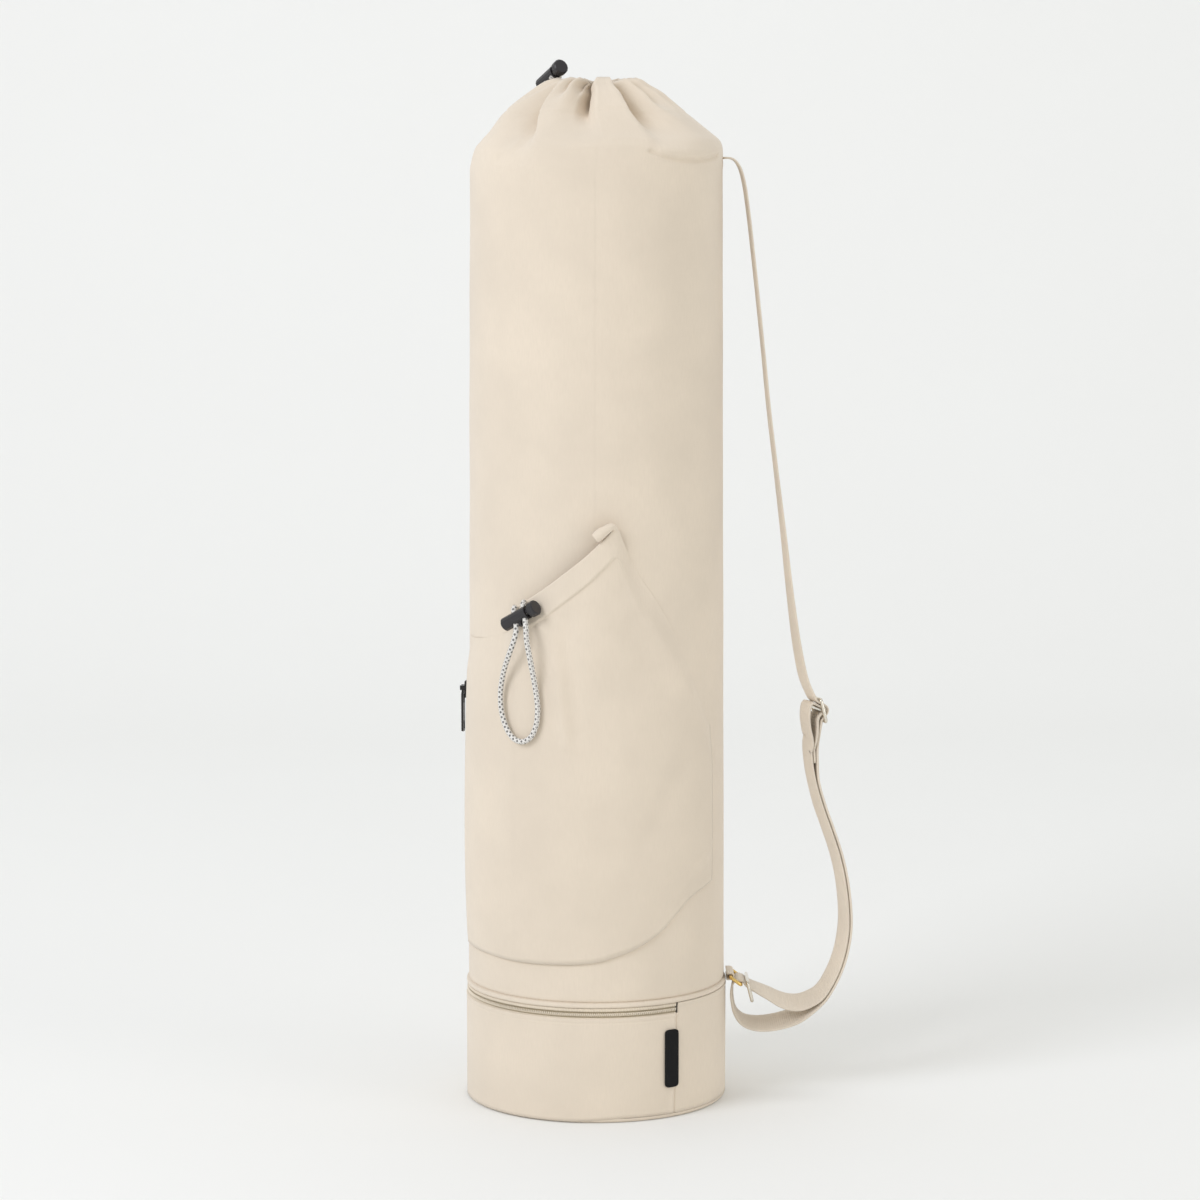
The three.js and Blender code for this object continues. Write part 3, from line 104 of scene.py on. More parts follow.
random_source = np.random.default_rng(7)
WAVE_COUNT = 28
wave_turns = random_source.integers(1, 9, WAVE_COUNT)
wave_rates = random_source.uniform(-0.07, 0.07, WAVE_COUNT)
wave_phases = random_source.uniform(0, 2 * math.pi, WAVE_COUNT)


def soft_dents(angle, height):
    """Gentle hollows and bulges of slack cloth, from -1 to 1, without a seam round the bag."""
    angle, height = np.broadcast_arrays(np.radians(angle), height)
    total = np.zeros(angle.shape)
    for turns, rate, phase in zip(wave_turns, wave_rates, wave_phases):
        total += np.sin(turns * angle + rate * height + phase)
    return total / WAVE_COUNT * 2.2


CREASE_RADIUS = 90.0


def far_from_line(angle, height, line):
    """Distance in millimetres over the cloth from a line through (angle, height) points."""
    x, y = np.broadcast_arrays(np.radians(angle) * CREASE_RADIUS, height)
    nearest = np.full(x.shape, np.inf)
    points = [(math.radians(a) * CREASE_RADIUS, h) for a, h in line]
    for (ax, ay), (bx, by) in zip(points, points[1:]):
        dx, dy = bx - ax, by - ay
        t = np.clip(((x - ax) * dx + (y - ay) * dy) / (dx * dx + dy * dy), 0, 1)
        nearest = np.minimum(nearest, np.hypot(x - ax - t * dx, y - ay - t * dy))
    return nearest


def hump(away, width):
    """A smooth rise, 1 in the middle and almost 0 beyond twice the width."""
    return np.exp(-((away / width) ** 2))


def press(angle, height, creases):
    """How far creases push the cloth out. A crease is a line, its half width and its height in mm."""
    push = 0
    for line, width, rise in creases:
        push = push + rise * hump(far_from_line(angle, height, line), width)
    return push


# %% Helpers that make a mesh
# %% [markdown]
# Cloth has two faces and an edge all round. The helper takes the points of both faces as grids of the
# same size and closes the edges between them. It also lays out the cloth flat, in metres, so that a weave
# has its true size.


def unit(vectors):
    """The same directions with a length of 1."""
    return vectors / np.linalg.norm(vectors, axis=-1, keepdims=True)


def run_along(points):
    """How far each point of a line is from its start, measured along the line."""
    return np.concatenate([[0], np.cumsum(np.linalg.norm(np.diff(points, axis=0), axis=1))])


def lay_flat(points):
    """Flat coordinates of a grid of points, from the lengths along its rows and columns."""
    across = np.linalg.norm(np.diff(points, axis=1), axis=2).mean(axis=0)
    along = np.linalg.norm(np.diff(points, axis=0), axis=2).mean(axis=1)
    u = np.concatenate([[0], np.cumsum(across)])
    v = np.concatenate([[0], np.cumsum(along)])
    return np.stack(np.meshgrid(u, v), axis=-1)


def make_object(name, points, faces, flat=None, material=None, smooth=True):
    """A mesh object from points in metres and faces, turned so that a closed one faces out."""
    points = np.asarray(points, float)
    volume = 0.0
    for face in faces:
        a, b, c = points[face[0]], points[face[1]], points[face[2]]
        volume += np.dot(a, np.cross(b, c))
        if len(face) == 4:
            volume += np.dot(a, np.cross(c, points[face[3]]))
    if volume < 0:
        faces = [face[::-1] for face in faces]
    mesh = bpy.data.meshes.new(name)
    mesh.from_pydata(points.tolist(), [], [tuple(int(i) for i in face) for face in faces])
    if flat is not None:
        layer = mesh.uv_layers.new(name="flat")
        corners = np.empty(len(mesh.loops), dtype=np.int32)
        mesh.loops.foreach_get("vertex_index", corners)
        layer.data.foreach_set("uv", np.asarray(flat, float)[corners].ravel())
    mesh.polygons.foreach_set("use_smooth", [smooth] * len(mesh.polygons))
    if material is not None:
        mesh.materials.append(material)
    mesh.update()
    made = bpy.data.objects.new(name, mesh)
    bpy.context.scene.collection.objects.link(made)
    return made


def quads(rows, columns, wrap, start=0):
    """The four-sided faces of a grid, whose columns close round when wrap is true."""
    last = columns if wrap else columns - 1
    r, c = np.meshgrid(np.arange(rows - 1), np.arange(last), indexing="ij")
    nxt = (c + 1) % columns
    return np.stack(
        [
            start + r * columns + c,
            start + r * columns + nxt,
            start + (r + 1) * columns + nxt,
            start + (r + 1) * columns + c,
        ],
        axis=-1,
    ).reshape(-1, 4)


def capped(rows, columns):
    """The faces of a row of closed rings, with one face over each end."""
    faces = quads(rows, columns, True).tolist()
    faces.append(tuple(range(columns))[::-1])
    faces.append(tuple((rows - 1) * columns + i for i in range(columns)))
    return faces


def strip(first, second, wrap):
    """Faces between two lines of point numbers of the same length."""
    pairs = list(zip(first, second))
    if wrap:
        pairs.append(pairs[0])
    return [(a, b, d, c) for (a, c), (b, d) in zip(pairs, pairs[1:])]


def make_cloth(name, outer, inner, material=None, wrap=False):
    """A cloth piece between two grids of points (rows up, columns round), with its edges closed."""
    rows, columns = outer.shape[:2]
    inner_rows = inner.shape[0]
    count = rows * columns
    faces = quads(rows, columns, wrap).tolist()
    faces += [face[::-1] for face in quads(inner_rows, columns, wrap, count).tolist()]
    line = lambda start, row: [start + row * columns + i for i in range(columns)]
    faces += strip(line(count, 0), line(0, 0), wrap)
    faces += strip(line(0, rows - 1), line(count, inner_rows - 1), wrap)
    if not wrap:
        assert rows == inner_rows, "an open sheet needs the same rows on both faces"
        for column in (0, columns - 1):
            front = [r * columns + column for r in range(rows)]
            back = [count + r * columns + column for r in range(rows)]
            side = strip(front, back, False)
            faces += side if column == 0 else [face[::-1] for face in side]
    points = np.concatenate([outer.reshape(-1, 3), inner.reshape(-1, 3)])
    flat = np.concatenate([lay_flat(outer).reshape(-1, 2), lay_flat(inner).reshape(-1, 2)])
    return make_object(name, points, faces, flat, material)


def grid_normals(grid, wrap):
    """The outward direction at each point of a grid of rows up and columns round."""
    up = np.gradient(grid, axis=0)
    if wrap:
        around = np.roll(grid, -1, axis=1) - np.roll(grid, 1, axis=1)
    else:
        around = np.gradient(grid, axis=1)
    return unit(np.cross(around, up))


def smooth_path(points, step):
    """Points about one step apart along a smooth curve through the given ones."""
    p = np.asarray(points, float)
    ends = np.concatenate([[2 * p[0] - p[1]], p, [2 * p[-1] - p[-2]]])
    curve = []
    for i in range(1, len(ends) - 2):
        p0, p1, p2, p3 = ends[i - 1 : i + 3]
        t1 = np.linalg.norm(p1 - p0) ** 0.5
        t2 = t1 + np.linalg.norm(p2 - p1) ** 0.5
        t3 = t2 + np.linalg.norm(p3 - p2) ** 0.5
        for share in np.linspace(0, 1, 24, endpoint=False):
            t = t1 + (t2 - t1) * share
            a1 = p0 + (p1 - p0) * t / t1
            a2 = p1 + (p2 - p1) * (t - t1) / (t2 - t1)
            a3 = p2 + (p3 - p2) * (t - t2) / (t3 - t2)
            b1 = a1 + (a2 - a1) * t / t2
            b2 = a2 + (a3 - a2) * (t - t1) / (t3 - t1)
            curve.append(b1 + (b2 - b1) * (t - t1) / (t2 - t1))
    curve.append(ends[-2])
    curve = np.array(curve)
    lengths = run_along(curve)
    count = max(2, int(round(lengths[-1] / step)))
    at = np.linspace(0, lengths[-1], count + 1)
    return np.stack([np.interp(at, lengths, curve[:, k]) for k in range(3)], axis=1)


def make_tube(name, path, radius, material, sides, swell=None):
    """A round tube along a path. swell gives the radius's share at each (length, angle)."""
    along = unit(np.gradient(path, axis=0))
    start = np.cross(along[0], [0.3, 0.2, 0.9])
    side = start / np.linalg.norm(start)
    sides_at = []
    for direction in along:
        side = side - direction * np.dot(side, direction)
        side /= np.linalg.norm(side)
        sides_at.append(side.copy())
    side = np.array(sides_at)
    other = np.cross(along, side)
    turn = np.linspace(0, 2 * np.pi, sides, endpoint=False)
    length = run_along(path)
    size = np.full((len(path), sides), radius)
    if swell is not None:
        size = size * swell(length[:, None], turn[None, :])
    ring = side[:, None] * np.cos(turn)[None, :, None] + other[:, None] * np.sin(turn)[None, :, None]
    points = (path[:, None] + ring * size[..., None]).reshape(-1, 3)
    flat = np.stack(np.broadcast_arrays(turn[None, :] * radius, length[:, None]), axis=-1)
    return make_object(name, points, capped(len(path), sides), flat.reshape(-1, 2), material)


def cover(piece, node, slot, body="bag"):
    """The piece stands for this CAD node and rides on its body. The slot is not used."""
    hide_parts(node)
    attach(piece, body)
    print(piece.name, "stands for", node, "with", len(piece.data.polygons), "faces")


def declare_cloth(piece, width, length):
    """Prints that the piece is one cut of cloth of this flat width and length in millimetres. The size
    comes from the pattern and never from the finished mesh."""
    print(piece.name, "is cut", round(width), "x", round(length), "mm")


# %% Helpers that mix a finish
# %% [markdown]
# A finish is a plain surface with a pattern on it: threads or grain as fine relief, and small changes of
# colour and gloss. Patterns follow the cloth laid flat, or the bag itself, so they stay on the piece when
# it moves.


def start_finish(name, roughness, metallic=0.0, sheen=0.0):
    """A new finish and a function that adds a node to it, with its sockets set or linked by name."""
    finish = bpy.data.materials.new(name)
    finish.use_nodes = True
    tree = finish.node_tree
    surface = tree.nodes["Principled BSDF"]
    surface.inputs["Roughness"].default_value = roughness
    surface.inputs["Metallic"].default_value = metallic
    surface.inputs["Sheen Weight"].default_value = sheen
    surface.inputs["Sheen Roughness"].default_value = 0.6

    def add(kind, settings=None, **sockets):
        node = tree.nodes.new(kind)
        for key, value in (settings or {}).items():
            setattr(node, key, value)
        for key, value in sockets.items():
            key = key.replace("_", " ")
            socket = node.inputs[int(key[1:])] if key[0] == "n" and key[1:].isdigit() else node.inputs[key]
            if isinstance(value, bpy.types.NodeSocket):
                tree.links.new(value, socket)
            else:
                socket.default_value = value
        return node

    def plug(value, socket):
        tree.links.new(value, surface.inputs[socket])

    return finish, add, plug


def blend_colours(add, share, first, second):
    """A mix of two colours, by a share from 0 to 1."""
    mix = add("ShaderNodeMix", {"data_type": "RGBA"})
    for value, socket in ((share, mix.inputs[0]), (first, mix.inputs[6]), (second, mix.inputs[7])):
        if isinstance(value, bpy.types.NodeSocket):
            mix.id_data.links.new(value, socket)
        else:
            socket.default_value = value
    return mix.outputs[2]


def remap(add, value, low, high, out_low, out_high):
    """A value stretched from one range to another."""
    return add("ShaderNodeMapRange", n0=value, n1=low, n2=high, n3=out_low, n4=out_high).outputs[0]


def noise(add, place, scale, detail=2.0):
    """Soft random spots."""
    return add("ShaderNodeTexNoise", Vector=place, Scale=scale, Detail=detail).outputs["Fac"]


def rgb(red, green, blue):
    """A colour from the 0 to 255 values of a screen."""
    linear = [((c / 255 + 0.055) / 1.055) ** 2.4 if c > 10 else c / 255 / 12.92 for c in (red, green, blue)]
    return (*linear, 1.0)


# %% Thread the two cords
# %% [markdown]
# Each cord lock holds a loop of limp braided cord. The pocket's loop hangs down in front of the pocket. The
# neck's comes over the gathered cloth, lies down the back of the bag and goes back up to the lock.
CORD_DIAMETER = 3.8 * MM
POCKET_CORD_ROUTE = [
    (-54.61, -78.67, 352.47), (-54.99, -79.82, 351.84), (-55.18, -81.06, 350.82),
    (-55.08, -82.36, 349.27), (-54.34, -85.14, 345.18), (-53.61, -87.92, 341.09),
    (-53.67, -89.67, 336.8), (-55.17, -89.34, 331), (-57.85, -86.42, 323), (-60.96, -80.9, 313.5),
    (-63.31, -75.98, 303.5), (-64.61, -73.29, 293), (-63.71, -73.54, 280), (-60.05, -76.31, 269),
    (-55.14, -79.93, 263), (-49.43, -83.58, 261.8), (-43.98, -86.68, 265.4), (-40.39, -88.63, 273.5),
    (-39.27, -89.46, 285), (-40.62, -89.96, 298), (-42.68, -91.54, 310.5), (-44.69, -93.69, 321.5),
    (-46.41, -94.74, 332), (-46.91, -94.5, 340), (-47.35, -92.21, 345.13), (-48.08, -89.43, 349.22),
    (-48.81, -86.65, 353.31), (-48.92, -85.35, 354.85), (-48.72, -84.11, 355.87),
    (-48.29, -82.84, 356.56),
]
NECK_CORD_ROUTE = [
    (-35.13, 10.39, 699.03), (-35.08, 11.12, 700.31), (-34.67, 12.25, 701.92), (-33.15, 15.23, 705.64),
    (-31.57, 18.32, 709.51), (-30.6, 20.8, 711.8), (-30.05, 23.9, 713.2), (-29.79, 27.29, 713.6),
    (-29.96, 30.7, 712.9), (-30.56, 33.71, 711.3), (-31.43, 36.28, 709.1), (-33.01, 40.05, 703.6),
    (-34.51, 44.49, 696.5), (-36.5, 49.5, 689.5), (-39.45, 55.51, 682.5), (-43.79, 60.27, 674.5),
    (-48.49, 66.74, 664.5), (-51.9, 71.44, 653), (-52.55, 72.33, 640), (-52.55, 72.33, 615),
    (-52.67, 72.49, 590), (-52.67, 72.49, 571.5), (-50.81, 73.92, 566), (-46.2, 76.89, 563.7),
    (-41.42, 79.56, 566), (-39.28, 80.53, 571.5), (-39.28, 80.53, 590), (-39.19, 80.35, 615),
    (-39.19, 80.35, 640), (-38.71, 79.36, 653), (-36.81, 73.83, 664), (-35.07, 65.96, 673),
    (-33.4, 57.85, 681.3), (-31.49, 50.01, 687.5), (-29.19, 44.95, 692.5), (-27.58, 39.53, 698.8),
    (-26.3, 34.52, 704.6), (-25.48, 30.05, 709.6), (-25.3, 27.41, 712.2), (-25.25, 24.38, 714.4),
    (-25.43, 21.03, 716), (-25.84, 17.49, 716.4), (-26.48, 14.32, 715.5), (-27.44, 11.7, 713.12),
    (-29.02, 8.6, 709.25), (-30.55, 5.63, 705.54),
]
BRAID_STRANDS = 4
BRAID_PITCH = 9 * MM
BRAID_RELIEF = 0.035
FLECK_TURN = 48

braid_finish, add, plug = start_finish("grey reflective braid", roughness=0.5, sheen=0.1)
braid_place = add("ShaderNodeUVMap", {"uv_map": "flat"}).outputs[0]
fleck_ways = []
for turn in (FLECK_TURN, -FLECK_TURN):
    turned = add("ShaderNodeMapping", Vector=braid_place, Rotation=(0, 0, math.radians(turn)))
    wave = add("ShaderNodeTexWave", {"bands_direction": "X"}, Vector=turned.outputs[0], Scale=120.0)
    fleck_ways.append(wave.outputs["Fac"])
fleck_rows = add("ShaderNodeMath", {"operation": "MULTIPLY"}, n0=fleck_ways[0], n1=fleck_ways[1]).outputs[0]
fleck_noise = noise(add, braid_place, 1500.0)
fleck_share = remap(add, fleck_rows, 0.2, 0.5, 0.0, 1.0)
flecked = blend_colours(add, fleck_share, rgb(228, 225, 219), rgb(92, 89, 86))
fleck_fade = remap(add, fleck_noise, 0.45, 0.8, 0.0, 0.4)
plug(blend_colours(add, fleck_fade, flecked, rgb(200, 197, 192)), "Base Color")
plug(add("ShaderNodeBump", Strength=0.5, Distance=0.0002, Height=fleck_rows).outputs[0], "Normal")


def braid_swell(length, turn):
    """Strands that cross as they run round the cord, so its surface rises and falls a little."""
    one_way = np.cos(BRAID_STRANDS * (turn + 2 * np.pi * length / BRAID_PITCH))
    other_way = np.cos(BRAID_STRANDS * (turn - 2 * np.pi * length / BRAID_PITCH))
    return 1 - BRAID_RELIEF + BRAID_RELIEF * np.maximum(one_way, other_way)


def thread_cord(name, route, node):
    path = smooth_path(np.array(route) * MM, 0.7 * MM)
    piece = make_tube(name, path, CORD_DIAMETER / 2, braid_finish, sides=16, swell=braid_swell)
    cover(piece, node, slot="braid")


thread_cord("pocket_cord_braid", POCKET_CORD_ROUTE, "pocket_cord")
thread_cord("neck_cord_braid", NECK_CORD_ROUTE, "neck_cord")

# %% Weave the canvas
# %% [markdown]
# The bag is unbleached cotton canvas: fine plain-woven threads, a little uneven, in a light beige that is
# slightly blotchy where the cloth was dyed or pressed.


WEAVE_RELIEF = 0.3
# A wave texture with a scale of 1 repeats at this distance in metres
WAVE_REPEAT = 0.31416


def weave_finish(name, colour, thread=0.7 * MM, roughness=0.9, blotch=0.05, ribs=None, sheen=0.25):
    """Woven cloth of one colour, whose threads cross at this pitch, with ribs across it where asked."""
    finish, add, plug = start_finish(name, roughness, sheen=sheen)
    flat = add("ShaderNodeUVMap", {"uv_map": "flat"}).outputs[0]
    bands = WAVE_REPEAT / thread
    warp, weft = [
        add("ShaderNodeTexWave", {"bands_direction": way}, Vector=flat, Scale=bands, Distortion=0.4)
        for way in ("X", "Y")
    ]
    crossing = add(
        "ShaderNodeMath", {"operation": "MULTIPLY"}, n0=warp.outputs["Fac"], n1=weft.outputs["Fac"]
    ).outputs[0]
    slub_place = add("ShaderNodeMapping", Vector=flat, Scale=(900, 140, 1)).outputs[0]
    slub = noise(add, slub_place, 1.0)
    bag_place = add("ShaderNodeTexCoord").outputs["Object"]
    cloud = noise(add, bag_place, 18.0, 4.0)
    pucker = noise(add, bag_place, 55.0, 3.0)
    darker = tuple(c * (1 - blotch * 2) for c in colour[:3]) + (1,)
    lighter = tuple(min(1, c * (1 + blotch)) for c in colour[:3]) + (1,)
    clouded = blend_colours(add, remap(add, cloud, 0.3, 0.7, 0.0, 1.0), darker, lighter)
    threads = tuple(c * 0.93 for c in colour[:3]) + (1,)
    thread_share = remap(add, slub, 0.35, 0.75, 0.0, 0.35)
    plug(blend_colours(add, thread_share, clouded, threads), "Base Color")
    soft = add("ShaderNodeBump", Strength=0.25, Distance=0.0012, Height=pucker).outputs[0]
    grain = add("ShaderNodeBump", Strength=WEAVE_RELIEF, Distance=0.00025, Height=slub, Normal=soft)
    woven = add(
        "ShaderNodeBump", Strength=WEAVE_RELIEF, Distance=0.0002, Height=crossing, Normal=grain.outputs[0]
    ).outputs[0]
    if ribs is not None:
        per_rib = WAVE_REPEAT / ribs
        rib = add(
            "ShaderNodeTexWave", {"bands_direction": "Y"}, Vector=flat, Scale=per_rib, Distortion=0.2
        ).outputs["Fac"]
        woven = add("ShaderNodeBump", Strength=0.5, Distance=0.0002, Height=rib, Normal=woven).outputs[0]
    plug(woven, "Normal")
    plug(remap(add, slub, 0.3, 0.7, roughness - 0.08, roughness + 0.05), "Roughness")
    return finish


canvas_finish = weave_finish("beige canvas", (0.755, 0.655, 0.53, 1), blotch=0.03)
webbing_finish = weave_finish("beige webbing", (0.78, 0.69, 0.57, 1), thread=0.9 * MM, ribs=1.5 * MM)
tape_finish = weave_finish("zip tape", (0.55, 0.46, 0.31, 1), thread=0.6 * MM)
rib_finish = weave_finish("ribbed zip edge", (0.76, 0.66, 0.52, 1), thread=0.6 * MM)
coil_finish = weave_finish("zip coil", (0.8, 0.71, 0.57, 1), thread=0.5 * MM, roughness=0.5)

# %% Shape the cloth tube and its gathered neck
# %% [markdown]
# The bag's body is one wide piece of canvas sewn into a tube, a little narrower at the shoulder. A
# drawstring pulls its top together, so the cloth falls into deep folds that run out on the shoulder.
BAG_RADIUS = 89.2
SHOULDER_RADIUS = 86.3
SEAM_HEIGHT = 79.8
SHOULDER_HEIGHT = 646.3
NECK_RISE = 60
CLOTH = 1.2
FOLD_DEPTH = 9
FOLD_DROP = 3
# Each fold's angle at the rim and at the shoulder, half its width, its depth and how far down it reaches.
# Lean makes one side steep: the right one above 0, the left one below. Slot is the extra depth of its
# narrow middle.
NECK_FOLDS = [
    (-7, -7, 15, 1.4, 0.8, 0.75, 21),
    (-17, -20, 6, 0.45, 0.22, 0.4, 6),
    (24, 26, 5, 0.4, 0.2, -0.4, 5),
    (31, 33, 18, 1.7, 0.9, -0.85, 14),
    (58, 54, 12, 0.85, 0.46, -0.7, 5),
    (79, 76, 11, 0.45, 0.5, 0, 2),
    (104, 106, 13, 0.85, 0.8, 0.3, 5),
    (131, 128, 13, 0.7, 0.6, -0.3, 4),
    (158, 160, 14, 1.0, 0.86, 0.3, 7),
    (186, 184, 13, 0.75, 0.6, -0.2, 4),
    (212, 210, 13, 0.95, 0.8, 0.3, 6),
    (250, 250, 19, 1.1, 0.55, 0, 0),
    (282, 282, 9, 0.4, 0.35, 0, 2),
    (307, 322, 20, 2.0, 1.0, 0.85, 14),
    (329, 332, 7, 0.4, 0.3, 0.3, 4),
]
# The neck's outline along its ridges: share of the rise, share of the shoulder's radius, shift towards
# the strap
NECK_OUTLINE = np.array([
    (0, 1, 0.0035), (0.12, 0.99, 0.012), (0.205, 0.978, 0.021), (0.295, 0.94, 0.034),
    (0.385, 0.874, 0.026), (0.475, 0.812, 0.01), (0.567, 0.748, -0.006), (0.657, 0.676, -0.014),
    (0.747, 0.6, -0.0145), (0.837, 0.518, -0.01), (0.925, 0.42, -0.02), (0.975, 0.36, -0.01),
    (1, 0.3, 0),
])


def tube_radius(height):
    """The tube's radius, which narrows a little on the way up."""
    share = np.clip((np.asarray(height, float) - SEAM_HEIGHT) / (SHOULDER_HEIGHT - SEAM_HEIGHT), 0, 1)
    return BAG_RADIUS + (SHOULDER_RADIUS - BAG_RADIUS) * share


def bell(away, half):
    """A smooth rise, 1 in the middle and 0 from half a width on."""
    return np.cos(np.pi / 2 * np.minimum(np.abs(away) / half, 1)) ** 2


def fold_depth(angle, rise):
    """How deep the gathered cloth folds in, as a share of the fold depth, and the slots in millimetres."""
    depth, slots = 0, 0
    for rim, shoulder, half, share, reach, lean, slot in NECK_FOLDS:
        middle = shoulder + (rim - shoulder) * rise
        away = (angle - middle + 540) % 360 - 180
        reached = ease(rise, 1 - reach, 1 - reach * 0.35)
        width = half * np.where(away > 0, 1 - 0.5 * lean, 1 + 0.5 * lean)
        depth = depth + share * bell(away, width) * reached
        slots = slots + slot * bell(away, width * 0.4) * ease(rise, 1 - reach * 0.72, 1 - reach * 0.3)
    return depth, slots


# Where the drawstring's casing starts, as a share of the rise, and the creases where folds run out
CASING_RISE = 0.62
NECK_CREASES = [
    ([(24, 656.5), (31, 652.8), (40, 650.8), (50, 650.4), (60, 651.2), (71, 653.6)], 1.5, -1.6),
    ([(30, 657), (44, 655.5), (60, 655.5), (71, 658)], 4.0, 1.5),
    ([(-52, 652), (-38, 648)], 4, -0.9),
    ([(-60, 676), (-50, 668), (-46, 660)], 3, 1.0),
    ([(62, 690), (54, 684), (47, 679)], 3.5, 1.0),
]


def casing_step(angle, rise):
    """The casing is double cloth, so it is thicker above its line of stitches."""
    seam_shift = 0.02 * np.sin(np.radians(3 * angle + 40))
    line = rise - CASING_RISE - seam_shift
    return 0.55 * ease(line, -0.008, 0.012) - 0.5 * hump(line, 0.012)


def rim_puckers(angle, rise):
    """Fine waves where the cord draws the casing together."""
    turn = np.radians(angle)
    waves = np.sin(23 * turn + 1.3 * np.sin(3 * turn)) + 0.6 * np.sin(41 * turn + 2 * np.sin(2 * turn))
    return 0.45 * waves * ease(rise, 0.6, 0.95)


def neck_points(angle, rise):
    """Points of the gathered neck, at shares of its rise from the shoulder to the rim."""
    depth, slots = fold_depth(angle, rise)
    outline = read_smooth(NECK_OUTLINE[:, 0], NECK_OUTLINE[:, 1], rise)
    shift = read_smooth(NECK_OUTLINE[:, 0], NECK_OUTLINE[:, 2], rise)
    radius = outline * SHOULDER_RADIUS - FOLD_DEPTH * depth - np.minimum(slots, outline * 40 - 6)
    radius = radius + casing_step(angle, rise) + rim_puckers(angle, rise)
    height = SHOULDER_HEIGHT + rise * NECK_RISE - FOLD_DROP * depth * rise
    signed = (angle + 180) % 360 - 180
    radius = radius + press(signed, height, NECK_CREASES)
    radius = radius + 0.5 * soft_dents(angle, height) * ease(rise, 0.0, 0.2)
    points = on_bag(angle, radius, height)
    points[..., 0] += shift * SHOULDER_RADIUS * MM
    return points


TUBE_ANGLES = np.arange(0, 360, 1.0)
STRAIGHT_BOTTOM = 86
STRAIGHT_TOP = 644
STRAIGHT_ROWS = 92
NECK_ROWS = 64
TUBE_CREASES = [
    ([(-69.8, 330), (-59.9, 321)], 3, -0.8),
    ([(52, 161.5), (58, 157.5), (65, 157.9)], 2.2, -1.3),
    ([(-72, 158), (-72, 104)], 1.2, -0.35),
]
# Height and radius up the folded band at the tube's foot, and over the crease above it
band_profile = [
    (79.8, 90.0), (80.3, 90.5), (81.2, 90.7), (82.3, 90.6), (82.9, 90.2),
    (83.1, 88.3), (83.45, 87.9), (83.8, 88.8), (84.6, 89.0),
]
band_rows = [on_bag(TUBE_ANGLES, radius, height) for height, radius in band_profile]
straight_heights = np.linspace(STRAIGHT_BOTTOM, STRAIGHT_TOP, STRAIGHT_ROWS)[:, None]
signed_angles = (TUBE_ANGLES[None, :] + 180) % 360 - 180
straight_radius = tube_radius(straight_heights) + press(signed_angles, straight_heights, TUBE_CREASES)
dents_fade = ease(STRAIGHT_TOP - straight_heights, 0, 60)
straight_radius += 0.4 * soft_dents(signed_angles, straight_heights) * dents_fade
straight_rows = on_bag(TUBE_ANGLES[None, :], straight_radius, straight_heights)
neck_steps = np.linspace(0, 1, NECK_ROWS)[:, None]
neck_rises = 0.35 * (1 - np.cos(np.pi / 2 * neck_steps)) + 0.65 * neck_steps
neck_rows = neck_points(TUBE_ANGLES[None, :], neck_rises)
tube_outer = np.concatenate([np.array(band_rows), straight_rows, neck_rows])
# The inside follows the outside, with fewer rows
inner_rows = [0, 7, 20, 40, 60, 80, 96] + list(range(99, len(tube_outer), 3))
if inner_rows[-1] != len(tube_outer) - 1:
    inner_rows.append(len(tube_outer) - 1)
tube_inner = (tube_outer - grid_normals(tube_outer, True) * CLOTH * MM)[inner_rows]
tube_inner[0] = on_bag(TUBE_ANGLES, BAG_RADIUS - CLOTH, SEAM_HEIGHT)
body = make_cloth("canvas_tube", tube_outer, tube_inner, canvas_finish, wrap=True)
cover(body, "body_tube", slot="canvas")
# The cut is a plain rectangle: once round the tube, and up the tube and over the neck's ridges to the rim
ridge_out = NECK_OUTLINE[:, 1] * SHOULDER_RADIUS
ridge_up = NECK_OUTLINE[:, 0] * NECK_RISE
neck_length = np.hypot(np.diff(ridge_out), np.diff(ridge_up)).sum()
tube_cut = SHOULDER_HEIGHT - SEAM_HEIGHT + neck_length
declare_cloth(body, 2 * math.pi * BAG_RADIUS, tube_cut)

# %% Lay the cloth floor above the base compartment
# %% [markdown]
# A round piece of the same canvas is sewn in where the tube meets the base, so that the rolled mat stands
# on it and the base stays a compartment of its own. It could be made with a turned-up edge, but the seam
# hides that.
FLOOR_THICKNESS = 1.6
FLOOR_GAP = 0.1
# Round pieces start this close to their middle, so that no face there has a side without length
ROUND_CENTRE = 0.01


def turn_cloth(name, profile, angles, smooth=True):
    """A round piece of cloth from its side view, given as radii and heights."""
    points = np.array([on_bag(angles, radius, height) for radius, height in profile]).reshape(-1, 3)
    faces = capped(len(profile), len(angles))
    return make_object(name, points, faces, points[:, :2], canvas_finish, smooth)


floor_radius = BAG_RADIUS - CLOTH - FLOOR_GAP
floor_top = SEAM_HEIGHT + FLOOR_THICKNESS
floor_profile = [
    (ROUND_CENTRE, SEAM_HEIGHT), (floor_radius, SEAM_HEIGHT),
    (floor_radius, floor_top), (ROUND_CENTRE, floor_top),
]
cloth_floor = turn_cloth("cloth_floor", floor_profile, np.arange(0, 360, 5), smooth=False)
cover(cloth_floor, "body_tube", slot="canvas")

# %% Sew the base compartment
# %% [markdown]
# The base is a strip of canvas round a round bottom panel, whose edge turns up to meet it. The strip's
# two ends meet in the upright seam at the front right. Left of that seam its upper edge is cut lower, for
# the zip. The folded edge, the line of stitches below it and the upright seam are pressed into the mesh,
# because a bump alone would leave the outline smooth.
BASE_RADIUS = 90.5
BASE_EDGE_RADIUS = 2.8
BASE_TOP = 79.5
ZIP_GAP = 7
ZIP_ARC = (-142, 38)


